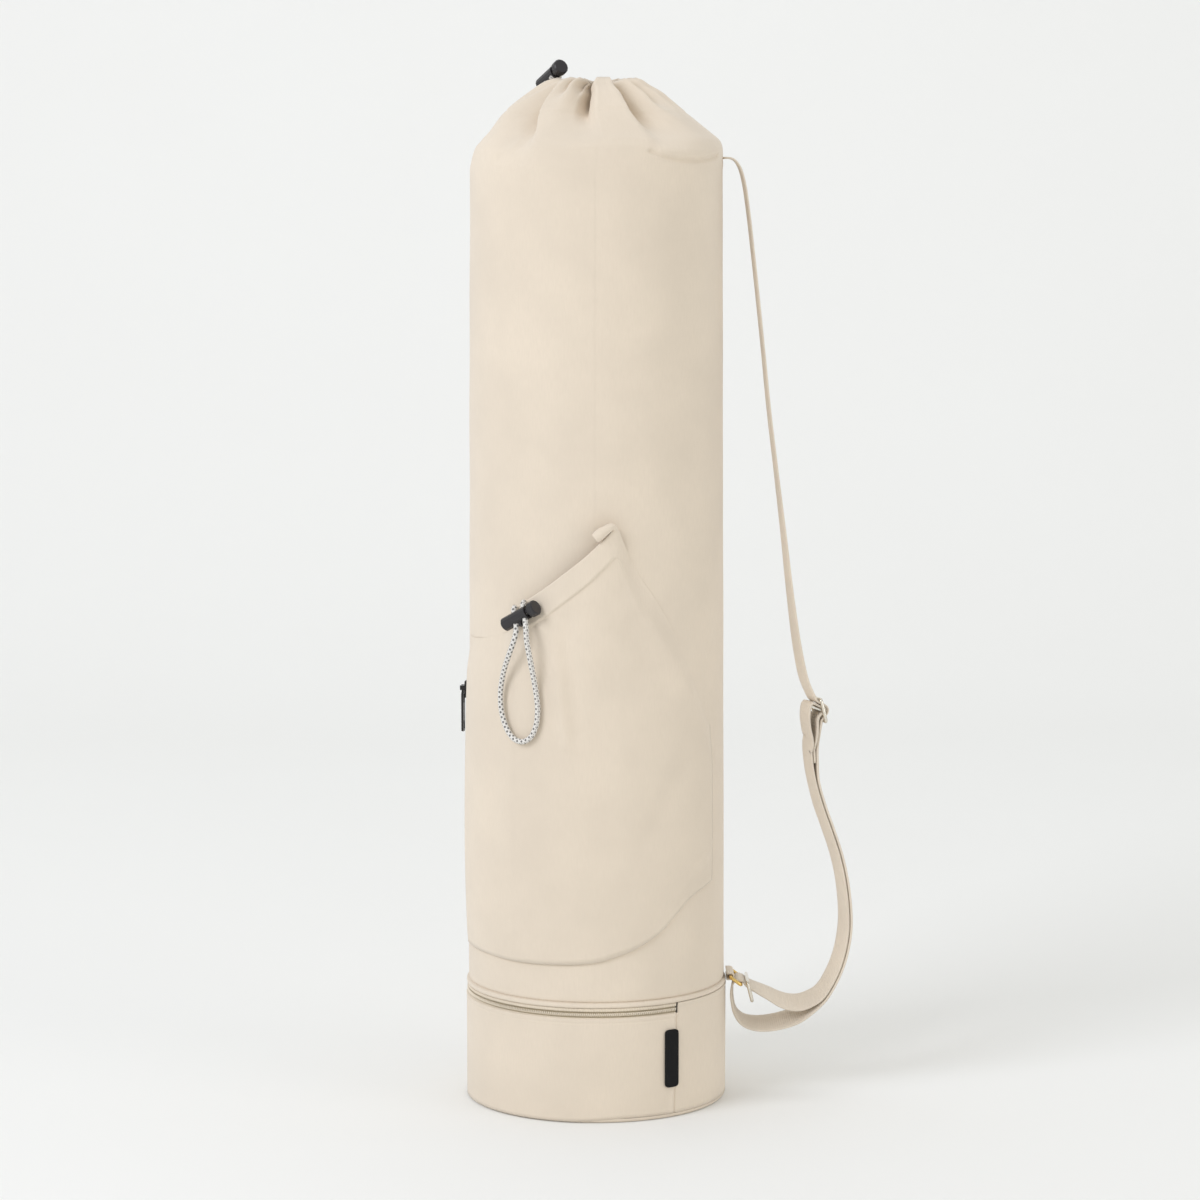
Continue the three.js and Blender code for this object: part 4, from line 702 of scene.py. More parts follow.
def wall_edge(angle):
    """Height of the base wall's top edge, which is lower along the zip."""
    inside = (angle >= ZIP_ARC[0]) & (angle <= ZIP_ARC[1])
    return np.where(inside, BASE_TOP - ZIP_GAP, BASE_TOP)


SEAM_ANGLE = 37.2
SEAM_DEPTH = 0.7
SEAM_RIDGE = 0.35
SEAM_RIDGE_SHIFT = 2.2
EDGE_RIDGE = 0.25
EDGE_STITCH_DEPTH = 0.22
EDGE_STITCH_DROP = 3.0
near_seam = np.linspace(34, 38, 33)
wall_angles = np.unique(np.concatenate([
    np.linspace(ZIP_ARC[0], ZIP_ARC[1], 145), near_seam, np.linspace(38.2, 42, 16),
    np.linspace(ZIP_ARC[1] + 0.2, ZIP_ARC[0] + 359.8, 145),
]))
wall_shares = np.concatenate([np.linspace(0, 0.9, 26), np.linspace(0.91, 1, 14)])[:, None]
edge_heights = wall_edge(wall_angles)[None, :]
front_left = ease(-np.abs(wall_angles + 60), -75, -45)[None, :]
wall_bottom = BASE_EDGE_RADIUS + 0.3 - 2.1 * front_left
wall_heights = wall_bottom + (edge_heights - wall_bottom) * wall_shares
from_edge = edge_heights - wall_heights
seam_line = SEAM_ANGLE - 0.016 * (70 - wall_heights)
past_seam = (wall_angles[None, :] - seam_line) * math.radians(1) * BASE_RADIUS
seam_ridge = SEAM_RIDGE * hump(past_seam + SEAM_RIDGE_SHIFT, 1.6)
upright_seam = -SEAM_DEPTH * hump(past_seam, 0.55) + seam_ridge
folded_edge = EDGE_RIDGE * hump(from_edge, 2.2) - 0.45 * ease(-from_edge, -0.35, 0)
edge_stitches = -EDGE_STITCH_DEPTH * hump(from_edge - EDGE_STITCH_DROP, 0.45)
wall_dents = 0.3 * soft_dents(wall_angles[None, :], wall_heights * 1.7) * np.sin(np.pi * wall_shares)
wall_radius = BASE_RADIUS + wall_dents
wall_radius = wall_radius + upright_seam + folded_edge + edge_stitches + 0.25 * front_left
wall_outer = on_bag(wall_angles[None, :], wall_radius, wall_heights)
wall_inner = on_bag(wall_angles[None, :], BASE_RADIUS - CLOTH, wall_heights)
base_wall = make_cloth("canvas_base_wall", wall_outer, wall_inner, canvas_finish, wrap=True)
cover(base_wall, "base_wall", slot="canvas")
# The cut is a strip round the base, less the step for the zip along its arc
strip_length = 2 * math.pi * BASE_RADIUS
strip_width = BASE_TOP - BASE_EDGE_RADIUS
declare_cloth(base_wall, strip_length, strip_width)

# %% [markdown]
# The bottom panel is a disc of canvas. Its rounded edge is the first thing that meets the floor all round.
panel_steps = np.radians(np.linspace(-90, 0, 8))
corner = BASE_RADIUS - BASE_EDGE_RADIUS


def panel_edge(radius, steps):
    """The panel's rounded edge in side view, as radii and heights."""
    return [(corner + radius * math.cos(a), BASE_EDGE_RADIUS + radius * math.sin(a)) for a in steps]


panel_profile = [(ROUND_CENTRE, 0)] + [(corner * k / 6, 0) for k in range(1, 6)]
panel_profile += panel_edge(BASE_EDGE_RADIUS, panel_steps)
panel_profile += panel_edge(BASE_EDGE_RADIUS - CLOTH, panel_steps[::-1])
panel_profile.append((ROUND_CENTRE, CLOTH))
base_panel = turn_cloth("canvas_base_panel", panel_profile, np.arange(0, 360, 2.5))
cover(base_panel, "base_panel", slot="canvas")

# %% Cut and fold the patch pocket
# %% [markdown]
# The pocket is one patch of canvas, sewn round the front and left of the tube along a curved lower seam.
# Its mouth is slanted and has a thick double hem with the cord in it. The drawn cord pulls the mouth out
# from the bag, so the patch stands off most at the corner beside the mouth. Down the right side it lies
# flat and runs out smoothly. Each row below is one place round the bag: its angle, the height of the
# patch's lower and upper edge, how far the mouth lifts, and how far the patch bellies, both as shares.
POCKET_OUTLINE = np.array([
    (-80, 110.4, 325.4, 0, 0.45),
    (-72, 110.2, 325.4, 0.1, 0.95),
    (-62, 109.8, 326.7, 0.18, 1),
    (-50, 109.2, 330.7, 0.27, 1),
    (-38, 108.5, 336.8, 0.34, 1),
    (-35.5, 108.5, 351.5, 0.38, 1),
    (-28, 108.7, 359.2, 0.5, 1),
    (-20, 109.0, 367.8, 0.72, 1),
    (-11, 109.6, 379.2, 0.97, 1),
    (-3, 110.7, 390.2, 1, 1),
    (4, 112.8, 401.6, 0.85, 0.95),
    (8.2, 115.0, 407.3, 0.66, 0.9),
    (12, 116.8, 396.7, 0.34, 0.85),
    (19, 121.3, 375.1, 0.14, 0.75),
    (27, 128.1, 358.0, 0.08, 0.6),
    (36, 139.5, 336.8, 0.05, 0.45),
    (46, 151.1, 312.0, 0.03, 0.3),
    (55, 156.0, 287.6, 0.02, 0.15),
    (62, 158.8, 266.0, 0, 0.05),
])
POCKET_STANDOFF = 8
POCKET_BELLY = 3.8
POCKET_GAP = 0.4
HEM_WIDTH = 20
HEM_THICKNESS = 2.6
HEM_STITCH_DEPTH = 0.5
BOTTOM_STITCH_DEPTH = 0.35
BOTTOM_STITCH_RISE = 2.6
POCKET_LEFT = -80
POCKET_RIGHT = 62

pocket_angles = np.arange(POCKET_LEFT, POCKET_RIGHT + 0.01, 0.8)
pocket_angles[-1] = POCKET_RIGHT
column = lambda k: read_smooth(POCKET_OUTLINE[:, 0], POCKET_OUTLINE[:, k], pocket_angles)[None, :]
pocket_bottom, pocket_top, pocket_lift, pocket_belly = [column(k) for k in range(1, 5)]


def spread(values, degrees):
    """The same values, evened out over some degrees to each side."""
    weights = hump(pocket_angles[:, None] - pocket_angles[None, :], degrees)
    return (weights * values[0][None, :]).sum(axis=1)[None, :] / weights.sum(axis=1)[None, :]


# The hem runs from the lock to the corner, as a share from 0 to 1
pocket_hem = ease(pocket_angles, -37.5, -35.5)[None, :] * (1 - ease(pocket_angles, 4.0, 14.0)[None, :])
rows_below_hem = np.linspace(0, 1, 78)[:, None]
hem_bottom = pocket_top - HEM_WIDTH
below = pocket_bottom + (hem_bottom - pocket_bottom) * (1 - (1 - rows_below_hem) ** 1.25)
hem_steps = np.concatenate([np.linspace(0.03, 0.94, 16), [0.96, 0.98, 0.993, 1]])[:, None]
within = hem_bottom + HEM_WIDTH * hem_steps
pocket_heights = np.concatenate([below, within])
share = (pocket_heights - pocket_bottom) / (pocket_top - pocket_bottom)
near_mouth = ease(share, 0.8, 1)
lift = spread(pocket_lift, 7) * (1 - near_mouth) + pocket_lift * near_mouth
belly = spread(pocket_belly, 6)
gap = (
    POCKET_GAP
    + POCKET_STANDOFF * lift * ease(share, 0.45, 1)
    + POCKET_BELLY * belly * np.sin(np.pi * share**0.8)
)
# Where the pocket's top lies flat on the bag, left of the lock and down its right side, it runs out
# smoothly
flat_left = 1 - ease(pocket_angles, -46, -37)[None, :]
flat_right = ease(pocket_angles, 8.5, 15)[None, :]
flat_top = np.maximum(flat_left, flat_right) * ease(pocket_heights - pocket_top, -26, -1)
gap = gap * (1 - 0.97 * flat_top)
# Folds that the drawn cord and the weight of the lock pull into the pocket's front
POCKET_CREASES = [
    ([(-23, 339), (-19.1, 332), (-16.5, 321), (-15.2, 309), (-14.4, 290), (-12, 262)], 4.5, 1.5),
    ([(-27, 334), (-24, 322), (-21, 306)], 4, -1.4),
    ([(-12, 345), (-11, 325), (-9.5, 300), (-8, 270)], 6, -1.3),
    ([(16.2, 354.5), (26, 337), (36, 316), (44, 292)], 9, 1.0),
    ([(14, 338), (22, 322), (31, 300)], 8, -0.8),
    ([(-2, 300), (2, 240), (5, 190)], 12, -0.9),
    ([(43.7, 246.4), (30, 214), (18.7, 188.4)], 9, -0.8),
    ([(36, 150), (48, 166), (56, 176)], 3.5, 0.9),
    ([(-50, 300), (-46, 250), (-48, 190)], 10, -0.7),
    ([(-62, 318), (-54, 314), (-46, 316)], 4.5, -0.8),
]
folds = press(pocket_angles[None, :], pocket_heights, POCKET_CREASES)
folds = folds * ease(share, 0, 0.12) * (1 - 0.8 * flat_top) * (1 - ease(share, 0.97, 1))
pocket_back = tube_radius(pocket_heights) + gap + np.maximum(folds, 0.1 - gap)
above_hem_line = pocket_heights - hem_bottom
in_hem = pocket_hem * ease(above_hem_line, -0.4, 0.6)
hem_stitches = -HEM_STITCH_DEPTH * pocket_hem * hump(above_hem_line - 0.2, 0.7)
bottom_stitches = -BOTTOM_STITCH_DEPTH * hump(pocket_heights - pocket_bottom - BOTTOM_STITCH_RISE, 0.5)
rolled_top = -0.9 * pocket_hem * ease(pocket_heights - pocket_top, -1.3, 0) ** 2
thickness = (CLOTH + (HEM_THICKNESS - CLOTH) * in_hem) * (1 - 0.93 * flat_top)
thickness = thickness + hem_stitches + rolled_top + bottom_stitches
pocket_front = pocket_back + np.maximum(thickness, 0.08)
pocket_face = on_bag(pocket_angles[None, :], pocket_front, pocket_heights)
pocket_lining = on_bag(pocket_angles[None, :], pocket_back, pocket_heights)
pocket = make_cloth("canvas_pocket", pocket_face, pocket_lining, canvas_finish)
cover(pocket, "pocket_panel", slot="canvas")

# %% [markdown]
# At the pocket's corner the hem's cord channel ends in a small open roll of cloth.
ROLL_ANGLES = np.array([-0.5, 3.0, 6.6, 9.4])
ROLL_RADII = np.array([98.2, 97.4, 95.6, 92.6])
ROLL_HEIGHTS = np.array([400.8, 405.4, 408.0, 402.5])
roll_path = smooth_path(on_bag(ROLL_ANGLES, ROLL_RADII, ROLL_HEIGHTS), 0.7 * MM)
roll_along = unit(np.gradient(roll_path, axis=0))
roll_out = unit(roll_path * (1, 1, 0))
roll_up = np.cross(roll_along, roll_out)
roll_up *= np.sign(roll_up[:, 2:3])
roll_turn = np.radians(np.linspace(-75, 215, 26))
roll_share = np.linspace(0, 1, len(roll_path))
roll_size = (3.4 + 0.35 * np.sin(9 * roll_share)) * (1 - 0.8 * ease(roll_share, 0.5, 1))


def roll_grid(inset):
    """The roll's face, drawn in by some millimetres."""
    size = (roll_size - inset)[:, None, None] * MM
    out_share = np.cos(roll_turn)[None, :, None]
    up_share = np.sin(roll_turn)[None, :, None]
    return roll_path[:, None] + (roll_out[:, None] * out_share + roll_up[:, None] * up_share) * size


corner_roll = make_cloth("canvas_corner_roll", roll_grid(0), roll_grid(0.8), canvas_finish)
cover(corner_roll, "pocket_panel", slot="canvas")
# The patch's pattern is its outline laid flat at the tube's radius, before it bellies or folds
outline_arc = np.radians(POCKET_OUTLINE[:, 0]) * BAG_RADIUS
patch_width = float(outline_arc[-1] - outline_arc[0])
patch_height = float(POCKET_OUTLINE[:, 2].max() - POCKET_OUTLINE[:, 1].min())
declare_cloth(
    pocket, patch_width, patch_height,
)

# %% Run the shoulder strap
# %% [markdown]
# The strap is one length of webbing. It is sewn to the right shoulder, runs down through the slider,
# under the ring at the base, back up and round the slider's middle bar, where its end is sewn. The first
# table lists directions across the webbing. Each place of the second is a point in millimetres and the
# number of its direction.
STRAP_WIDTH = 25
STRAP_THICKNESS = 1.4
STRAP_WAYS = [
    (0, -1, 0), (0.02, -1, 0), (0.03, -1, 0), (0.04, -0.999, 0), (0.05, -0.999, 0), (0.08, -0.997, 0),
    (0.129, -0.992, 0.01), (0.177, -0.984, 0.03), (0.196, -0.98, 0.044), (0.202, -0.978, 0.048),
    (0.187, -0.982, 0), (0.196, -0.981, 0), (0.214, -0.975, 0.058), (0.214, -0.974, 0.078),
    (0.215, -0.976, 0.029), (0.224, -0.975, 0), (0.224, -0.974, -0.039), (0.195, -0.974, -0.117),
    (0.156, -0.972, -0.175), (0.116, -0.97, -0.213), (0.068, -0.968, -0.242), (0.039, -0.965, -0.26),
    (0.019, -0.965, -0.261), (0, -0.97, -0.243), (-0.02, -0.98, -0.196), (-0.04, -0.992, -0.119),
    (-0.04, -0.999, -0.03), (-0.06, -0.998, 0), (-0.08, -0.997, 0), (-0.03, -0.999, -0.02),
    (-0.03, -0.996, -0.08), (0, -0.984, -0.177), (0.029, -0.97, -0.242), (0.048, -0.964, -0.26),
    (0.067, -0.963, -0.26), (0.087, -0.966, -0.242),
]
STRAP_ROUTE = [
    (86.94, 0, 651.8, 0), (91.14, 0, 651.8, 0), (94.5, 0, 650.28, 0), (97.86, 0, 645.34, 1),
    (100.8, 0, 635.45, 2), (103.82, 0, 616.06, 2), (106.76, 0, 591.73, 2), (110.21, 0, 561.31, 2),
    (114.58, 0, 520.63, 2), (118.86, 0, 479.19, 3), (123.98, 0, 437.75, 4), (129.11, 0, 396.31, 5),
    (134.82, 0, 347.64, 6), (139.86, 0, 312.66, 7), (144.56, 0, 291.37, 8), (150.28, -0.46, 278.61, 9),
    (150.55, -0.43, 278.1, 9), (150.94, -0.38, 277.67, 9), (151.42, -0.29, 277.35, 9),
    (155.85, 0.52, 275.21, 9), (156.82, 0.69, 274.54, 9), (157.56, 0.79, 273.61, 9),
    (158.01, 0.83, 272.51, 9), (158.11, 0.79, 271.32, 9), (157.87, 0.69, 270.16, 9),
    (157.3, 0.52, 269.13, 9), (154.31, -0.29, 265.21, 9), (154, -0.38, 264.66, 9),
    (153.86, -0.44, 264.05, 9), (151.3, 0, 246.25, 10), (151.41, 0, 235.13, 10), (152.12, 0, 222.7, 11),
    (156.79, 0, 204.48, 12), (162.83, 0, 187.36, 13), (168.81, 0, 169.18, 12), (173.04, 0, 149.98, 14),
    (175.4, 0, 125.19, 15), (174.55, 0, 110.54, 16), (170.98, 0, 93.99, 17), (165.2, 0, 79.95, 18),
    (158.6, 0, 68.96, 19), (150.36, 0, 60.79, 20), (141.12, 0, 54.23, 21), (130.2, 0, 50.38, 22),
    (120.12, 0, 48.45, 23), (110.63, 0, 48.45, 24), (102.48, 0, 51.15, 25), (97.27, 0, 57.32, 26),
    (95.26, 0, 65.8, 27), (95, 0, 72.73, 28), (95.84, 0, 78.13, 28), (97.69, 0, 81.21, 27),
    (100.23, 0, 81.01, 0), (100.92, 0, 81.15, 0), (101.62, 0, 81.06, 0), (102.26, 0, 80.77, 0),
    (102.77, 0, 80.29, 0), (103.11, 0, 79.67, 0), (105.59, 0, 77.36, 29), (112.31, 0, 73.89, 30),
    (120.96, 0, 69.65, 31), (128.1, 0, 65.8, 32), (135.24, 0, 63.48, 33), (142.38, 0, 63.29, 34),
    (149.52, 0, 65.8, 35), (156.4, 0, 70.34, 19), (163.24, 0, 80.94, 18), (168.88, 0, 94.64, 17),
    (172.37, 0, 110.85, 16), (173.2, 0, 125.11, 15), (170.86, 0, 149.65, 14), (166.69, 0, 168.6, 12),
    (160.74, 0, 186.65, 13), (154.68, 0, 203.83, 12), (149.77, 0, 222.22, 11), (147.63, 0, 234.84, 10),
    (146.9, 0, 246.08, 10), (147.57, -2.41, 250.49, 9), (146.02, -2.37, 257.83, 9),
    (145.04, -2.2, 265.31, 9), (145.27, -1.87, 271.12, 9), (146, -1.54, 274.79, 9),
    (147.51, -1.14, 276.48, 9), (149.4, -0.77, 276.11, 9), (151.51, -0.4, 274.87, 9),
    (153.68, 0, 273.79, 9), (154.54, 0.18, 273.82, 9), (155.35, 0.33, 273.51, 9),
    (155.98, 0.43, 272.91, 9), (156.34, 0.47, 272.11, 9), (156.38, 0.43, 271.23, 9),
    (156.08, 0.33, 270.41, 9), (155.5, 0.18, 269.77, 9), (154.72, 0, 269.41, 9),
    (153.04, -0.4, 268.45, 9), (151.89, -0.71, 266.94, 9), (151.21, -0.98, 264.31, 9),
    (151.16, -1.25, 259.05, 9), (150.47, -1.73, 252.21, 9), (149.1, 0, 246.16, 10),
    (149.52, 0, 234.99, 10),
]


def sweep_webbing(stations, ways, step):
    """Points of both faces of the strap's webbing, through stations with a way across at each."""
    path = smooth_path(stations, step)
    spans = run_along(stations)
    length = run_along(path)
    at = length / length[-1] * spans[-1]
    across = np.stack([np.interp(at, spans, ways[:, k]) for k in range(3)], axis=1)
    along = unit(np.gradient(path, axis=0))
    across -= along * (across * along).sum(axis=1, keepdims=True)
    across = unit(across)
    normal = np.cross(along, across)
    places = np.array([-1, -0.96, -0.6, -0.2, 0.2, 0.6, 0.96, 1])
    fullness = np.array([0.35, 1, 1, 1, 1, 1, 1, 0.35])
    faces = []
    for side in (1, -1):
        faces.append(
            path[:, None]
            + across[:, None] * (places * STRAP_WIDTH / 2)[None, :, None]
            + normal[:, None] * (side * fullness * STRAP_THICKNESS / 2)[None, :, None]
        )
    return faces[0] * MM, faces[1] * MM


strap_stations = np.array(STRAP_ROUTE)[:, :3]
strap_ways = np.array([STRAP_WAYS[place[3]] for place in STRAP_ROUTE])
strap_front, strap_back = sweep_webbing(strap_stations, strap_ways, 2.2)
strap = make_cloth("webbing_strap", strap_front, strap_back, webbing_finish)
cover(strap, "shoulder_strap", slot="webbing")
strap_length = float(np.linalg.norm(np.diff(strap_stations, axis=0), axis=1).sum())
declare_cloth(strap, STRAP_WIDTH, strap_length)

# %% Sew the ring tab and the label
# %% [markdown]
# A short piece of the same webbing holds the ring at the base, folded round it and sewn flat to the bag.
# The label is a folded strip of black cloth, sewn into the upright seam of the base. It is left bare.
RING_INNER_BAR = np.array([93.8, 0, 84.3])
TAB_WIDTH = 23.6
TAB_THICKNESS = 1.0
WIRE_RADIUS = 1.2
TAB_PLAY = 0.375
TAB_GAP = 0.4
tab_bore = WIRE_RADIUS + TAB_PLAY
tab_loop = tab_bore + TAB_THICKNESS
tab_wall = BASE_RADIUS + TAB_GAP
tab_turns = np.radians(np.linspace(-90, 90, 17))


def tab_face(radius):
    """The tab's side view: along the top, round the bar and back along the bottom."""
    x, z = RING_INNER_BAR[0], RING_INNER_BAR[2]
    bend = [(x + radius * math.cos(a), z + radius * math.sin(a)) for a in tab_turns]
    low = [(x + (tab_wall - x) * k / 3, z - radius) for k in (3, 2, 1)]
    high = [(x + (tab_wall - x) * k / 3, z + radius) for k in (1, 2, 3)]
    return np.array(low + bend + high)


tab_across = np.array([-1, -0.97, -0.5, 0, 0.5, 0.97, 1]) * TAB_WIDTH / 2


def tab_grid(radius):
    """One face of the tab, from its side view and the places across it."""
    face = tab_face(radius)
    grid = np.empty((len(face), len(tab_across), 3))
    grid[..., 0] = face[:, None, 0]
    grid[..., 1] = tab_across[None, :]
    grid[..., 2] = face[:, None, 1]
    return grid * MM


ring_tab = make_cloth("webbing_tab", tab_grid(tab_loop), tab_grid(tab_bore), webbing_finish)
cover(ring_tab, "ring_tab", slot="webbing")

LABEL_BLACK = (0.008, 0.008, 0.0085, 1)
label_finish = weave_finish("black label cloth", LABEL_BLACK, roughness=0.8, blotch=0.1, sheen=0.0)
label_finish.node_tree.nodes["Principled BSDF"].inputs["Specular IOR Level"].default_value = 0.2


def dress_copy(node, name, finish, bevel, slot, body="bag"):
    """A copy of a CAD piece with its edges rounded over."""
    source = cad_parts[node]
    copy = source.copy()
    copy.data = source.data.copy()
    copy.name = name
    copy.parent = None
    copy.matrix_world = source.matrix_world.copy()
    bpy.context.scene.collection.objects.link(copy)
    copy.data.materials.clear()
    copy.data.materials.append(finish)
    rounding = copy.modifiers.new("rounded edges", "BEVEL")
    rounding.width = bevel * MM
    rounding.segments = 3
    rounding.limit_method = "ANGLE"
    rounding.angle_limit = math.radians(35)
    rounding.use_clamp_overlap = True
    copy.data.polygons.foreach_set("use_smooth", [True] * len(copy.data.polygons))
    smoothing = copy.modifiers.new("even shading", "WEIGHTED_NORMAL")
    smoothing.keep_sharp = True
    cover(copy, node, slot, body)


dress_copy("label_tab", "folded_label", label_finish, 0.45, slot="black_label")

# %% Finish the hard pieces
# %% [markdown]
# The cord locks are moulded in black plastic, the zip pulls are lacquered black, the ring at the base is
# brassy and the strap's slider and loose ring are polished silver.


def hard_finish(name, colour, roughness, metallic, grain, relief=0.05):
    """A hard surface with faint marks from handling in its gloss and relief."""
    finish, add, plug = start_finish(name, roughness, metallic)
    place = add("ShaderNodeTexCoord").outputs["Object"]
    marks = noise(add, place, grain, 4.0)
    worn = tuple(min(1, c * 1.25 + 0.004) for c in colour[:3]) + (1,)
    plug(blend_colours(add, marks, colour, worn), "Base Color")
    plug(remap(add, marks, 0.3, 0.7, roughness * 0.8, roughness * 1.25), "Roughness")
    plug(add("ShaderNodeBump", Strength=relief, Distance=0.0001, Height=marks).outputs[0], "Normal")
    return finish


plastic_finish = hard_finish("black plastic", (0.017, 0.015, 0.017, 1), 0.38, 0.0, 900, 0.12)
lacquer_finish = hard_finish("black lacquered metal", (0.022, 0.02, 0.019, 1), 0.3, 0.6, 500)
gold_finish = hard_finish("brassy metal", (0.72, 0.5, 0.17, 1), 0.2, 1.0, 400)
silver_finish = hard_finish("polished silver metal", (0.66, 0.62, 0.54, 1), 0.16, 1.0, 400)

HARD_PIECES = [
    ("pocket_lock_sleeve", "pocket_lock_barrel", plastic_finish, 0.35, "black_plastic", "bag"),
    ("pocket_lock_button", "pocket_lock_head", plastic_finish, 0.35, "black_plastic", "pocket_button"),
    ("neck_lock_sleeve", "neck_lock_barrel", plastic_finish, 0.35, "black_plastic", "bag"),
    ("neck_lock_button", "neck_lock_head", plastic_finish, 0.35, "black_plastic", "neck_button"),
    ("base_zip_slider", "base_zip_pull", lacquer_finish, 0.3, "black_metal", "bag"),
    ("side_zip_slider", "side_zip_runner", lacquer_finish, 0.2, "black_metal", "bag"),
    ("side_zip_puller", "side_zip_pull", lacquer_finish, 0.2, "black_metal", "side_puller"),
]
for node, name, finish, bevel, slot_name, body_name in HARD_PIECES:
    dress_copy(node, name, finish, bevel, slot_name, body_name)

# %% Bend the wire rings and the slider
# %% [markdown]
# The slider and both rings are bent from round wire. The webbing lies on their long bars, so each is a
# rounded rectangle as wide as the webbing.
RING_HALF = 14.9
WIRE_CORNER = 2.0
WIRE_SIDES = 20


def bend_wire(name, first, last, bar_direction, half, finish, node, slot_name, extra=()):
    """A closed ring of wire between two parallel bars, with straight extra bars where asked."""
    first, last, bar_direction = np.array(first), np.array(last), np.array(bar_direction)
    depth = np.linalg.norm(last - first)
    down = (last - first) / depth
    out = np.cross(down, bar_direction)
    middle = (first + last) / 2
    turn = np.linspace(0, 2 * np.pi, WIRE_SIDES, endpoint=False)
    rings = []
    for quarter in range(4):
        along_bar = 1 if quarter in (0, 3) else -1
        along_rail = 1 if quarter < 2 else -1
        for a in np.radians(90 * quarter + np.linspace(0, 90, 9)):
            facing = bar_direction * math.cos(a) + down * math.sin(a)
            at = (
                middle
                + bar_direction * along_bar * (half - WIRE_CORNER)
                + down * along_rail * (depth / 2 - WIRE_CORNER)
                + facing * WIRE_CORNER
            )
            rings.append(at + WIRE_RADIUS * (np.cos(turn)[:, None] * facing + np.sin(turn)[:, None] * out))
    points = np.array(rings).reshape(-1, 3) * MM
    faces = quads(len(rings) + 1, WIRE_SIDES, True) % len(points)
    wire = make_object(name, points, faces.tolist(), np.zeros((len(points), 2)), finish)
    cover(wire, node, slot=slot_name)
    for i, (start, end) in enumerate(extra):
        bar_line = np.linspace(start, end, 12) * MM
        bar = make_tube(f"{name}_bar_{i + 1}", bar_line, WIRE_RADIUS * MM, finish, WIRE_SIDES)
        cover(bar, node, slot=slot_name)


SLIDER_CENTRE = np.array([154.2, 0, 271.6])
SLIDER_DOWN = np.array([0.2317, 0, -0.9728])
SLIDER_BARS = np.array([0.2023, -0.9781, 0.0482])
BAR_PITCH = 8
bend_wire(
    "strap_slider_wire", SLIDER_CENTRE - SLIDER_DOWN * BAR_PITCH, SLIDER_CENTRE + SLIDER_DOWN * BAR_PITCH,
    SLIDER_BARS, RING_HALF, silver_finish, "strap_slider", "silver_metal",
    extra=[(SLIDER_CENTRE - SLIDER_BARS * RING_HALF, SLIDER_CENTRE + SLIDER_BARS * RING_HALF)],
)
bend_wire(
    "anchor_ring_wire", (93.8, 0, 84.3), (101, 0, 78.9), (0, -1, 0), RING_HALF, gold_finish,
    "anchor_ring", "gold_metal",
)
loose_top = np.array([105.4, 0, 80.8])
loose_hang = np.array([math.cos(math.radians(76)), 0, -math.sin(math.radians(76))])
bend_wire(
    "loose_ring_wire", loose_top, loose_top + loose_hang * 13.6, (0, -1, 0), RING_HALF + 0.6, silver_finish,
    "loose_ring", "silver_metal",
)

# %% Make the zips
# %% [markdown]
# A coil zip is a nylon spiral sewn along a woven tape. Seen from outside it is a row of fine ribs between
# two bands of tape.
COIL_PITCH = 1.4
COIL_HALF_WIDTH = 0.85
COIL_WIRE = 0.42
COIL_RISE = 0.78
TAPE_WIDTH = 12
TAPE_THICKNESS = 0.8
# The gap between a tape and the cloth that it is sewn to
TAPE_SEAT = 0.36
RIB_PITCH = 1.9
RIB_HEIGHT = 0.28


def make_zip(name, node, place, length, coil_across, flaps):
    """A tape with a coil along it. place gives the point at (along, across, out), all in millimetres.
    Flaps are the raised ribbed edges beside the coil: from and to across the tape, and how far out."""
    along = np.linspace(0, length, int(length / 0.5))
    across = [0.0, TAPE_WIDTH]
    for start, end, _ in flaps:
        across += [start - 0.08, start + 0.08, (start + end) / 2, end - 0.08, end + 0.08]
    across = np.clip(np.unique(across), 0, TAPE_WIDTH)
    a, c = np.meshgrid(along, across, indexing="ij")
    out = np.full(a.shape, TAPE_THICKNESS * 0.6)
    for start, end, rise in flaps:
        inside = (c > start) & (c < end)
        out = np.where(inside, rise + RIB_HEIGHT * np.sin(2 * np.pi * a / RIB_PITCH), out)
    front = place(a, c, out)
    back = place(a, c, np.zeros(a.shape))
    tape = make_cloth(name + "_tape", front, back, tape_finish)
    tape.data.materials.append(rib_finish)
    spans = (across[1:] + across[:-1]) / 2
    ribbed = [any(start - 0.1 < c < end + 0.1 for start, end, _ in flaps) for c in spans]
    for number in range((len(along) - 1) * len(spans)):
        tape.data.polygons[number].material_index = int(ribbed[number % len(spans)])
    cover(tape, node, slot="zip_tape")
    turns = int(length / COIL_PITCH)
    t = np.linspace(0, turns, turns * 9)
    helix = place(
        length * t / turns,
        coil_across + COIL_HALF_WIDTH * np.cos(2 * np.pi * t),
        TAPE_THICKNESS + COIL_RISE + COIL_WIRE * np.sin(2 * np.pi * t),
    )
    coil = make_tube(name + "_coil", helix, COIL_WIRE * MM, coil_finish, sides=6)
    cover(coil, node, slot="zip_tape")


BASE_ZIP_INNER = BASE_RADIUS - CLOTH - TAPE_SEAT - TAPE_THICKNESS
BASE_ZIP_BOTTOM = 67.5
BASE_COIL_ACROSS = 7.7
base_zip_start = ZIP_ARC[0] + 0.5
base_zip_length = math.radians(ZIP_ARC[1] - ZIP_ARC[0] - 1) * BASE_RADIUS


def on_base_zip(along, across, out):
    angle = base_zip_start + np.degrees(along / BASE_RADIUS)
    return on_bag(angle, BASE_ZIP_INNER + out, BASE_ZIP_BOTTOM + across)


BASE_ZIP_FLAPS = [(3.9, 5.5, 1.9), (9.8, 11.9, 1.9)]
make_zip("base_zip_fine", "base_zip", on_base_zip, base_zip_length, BASE_COIL_ACROSS, BASE_ZIP_FLAPS)

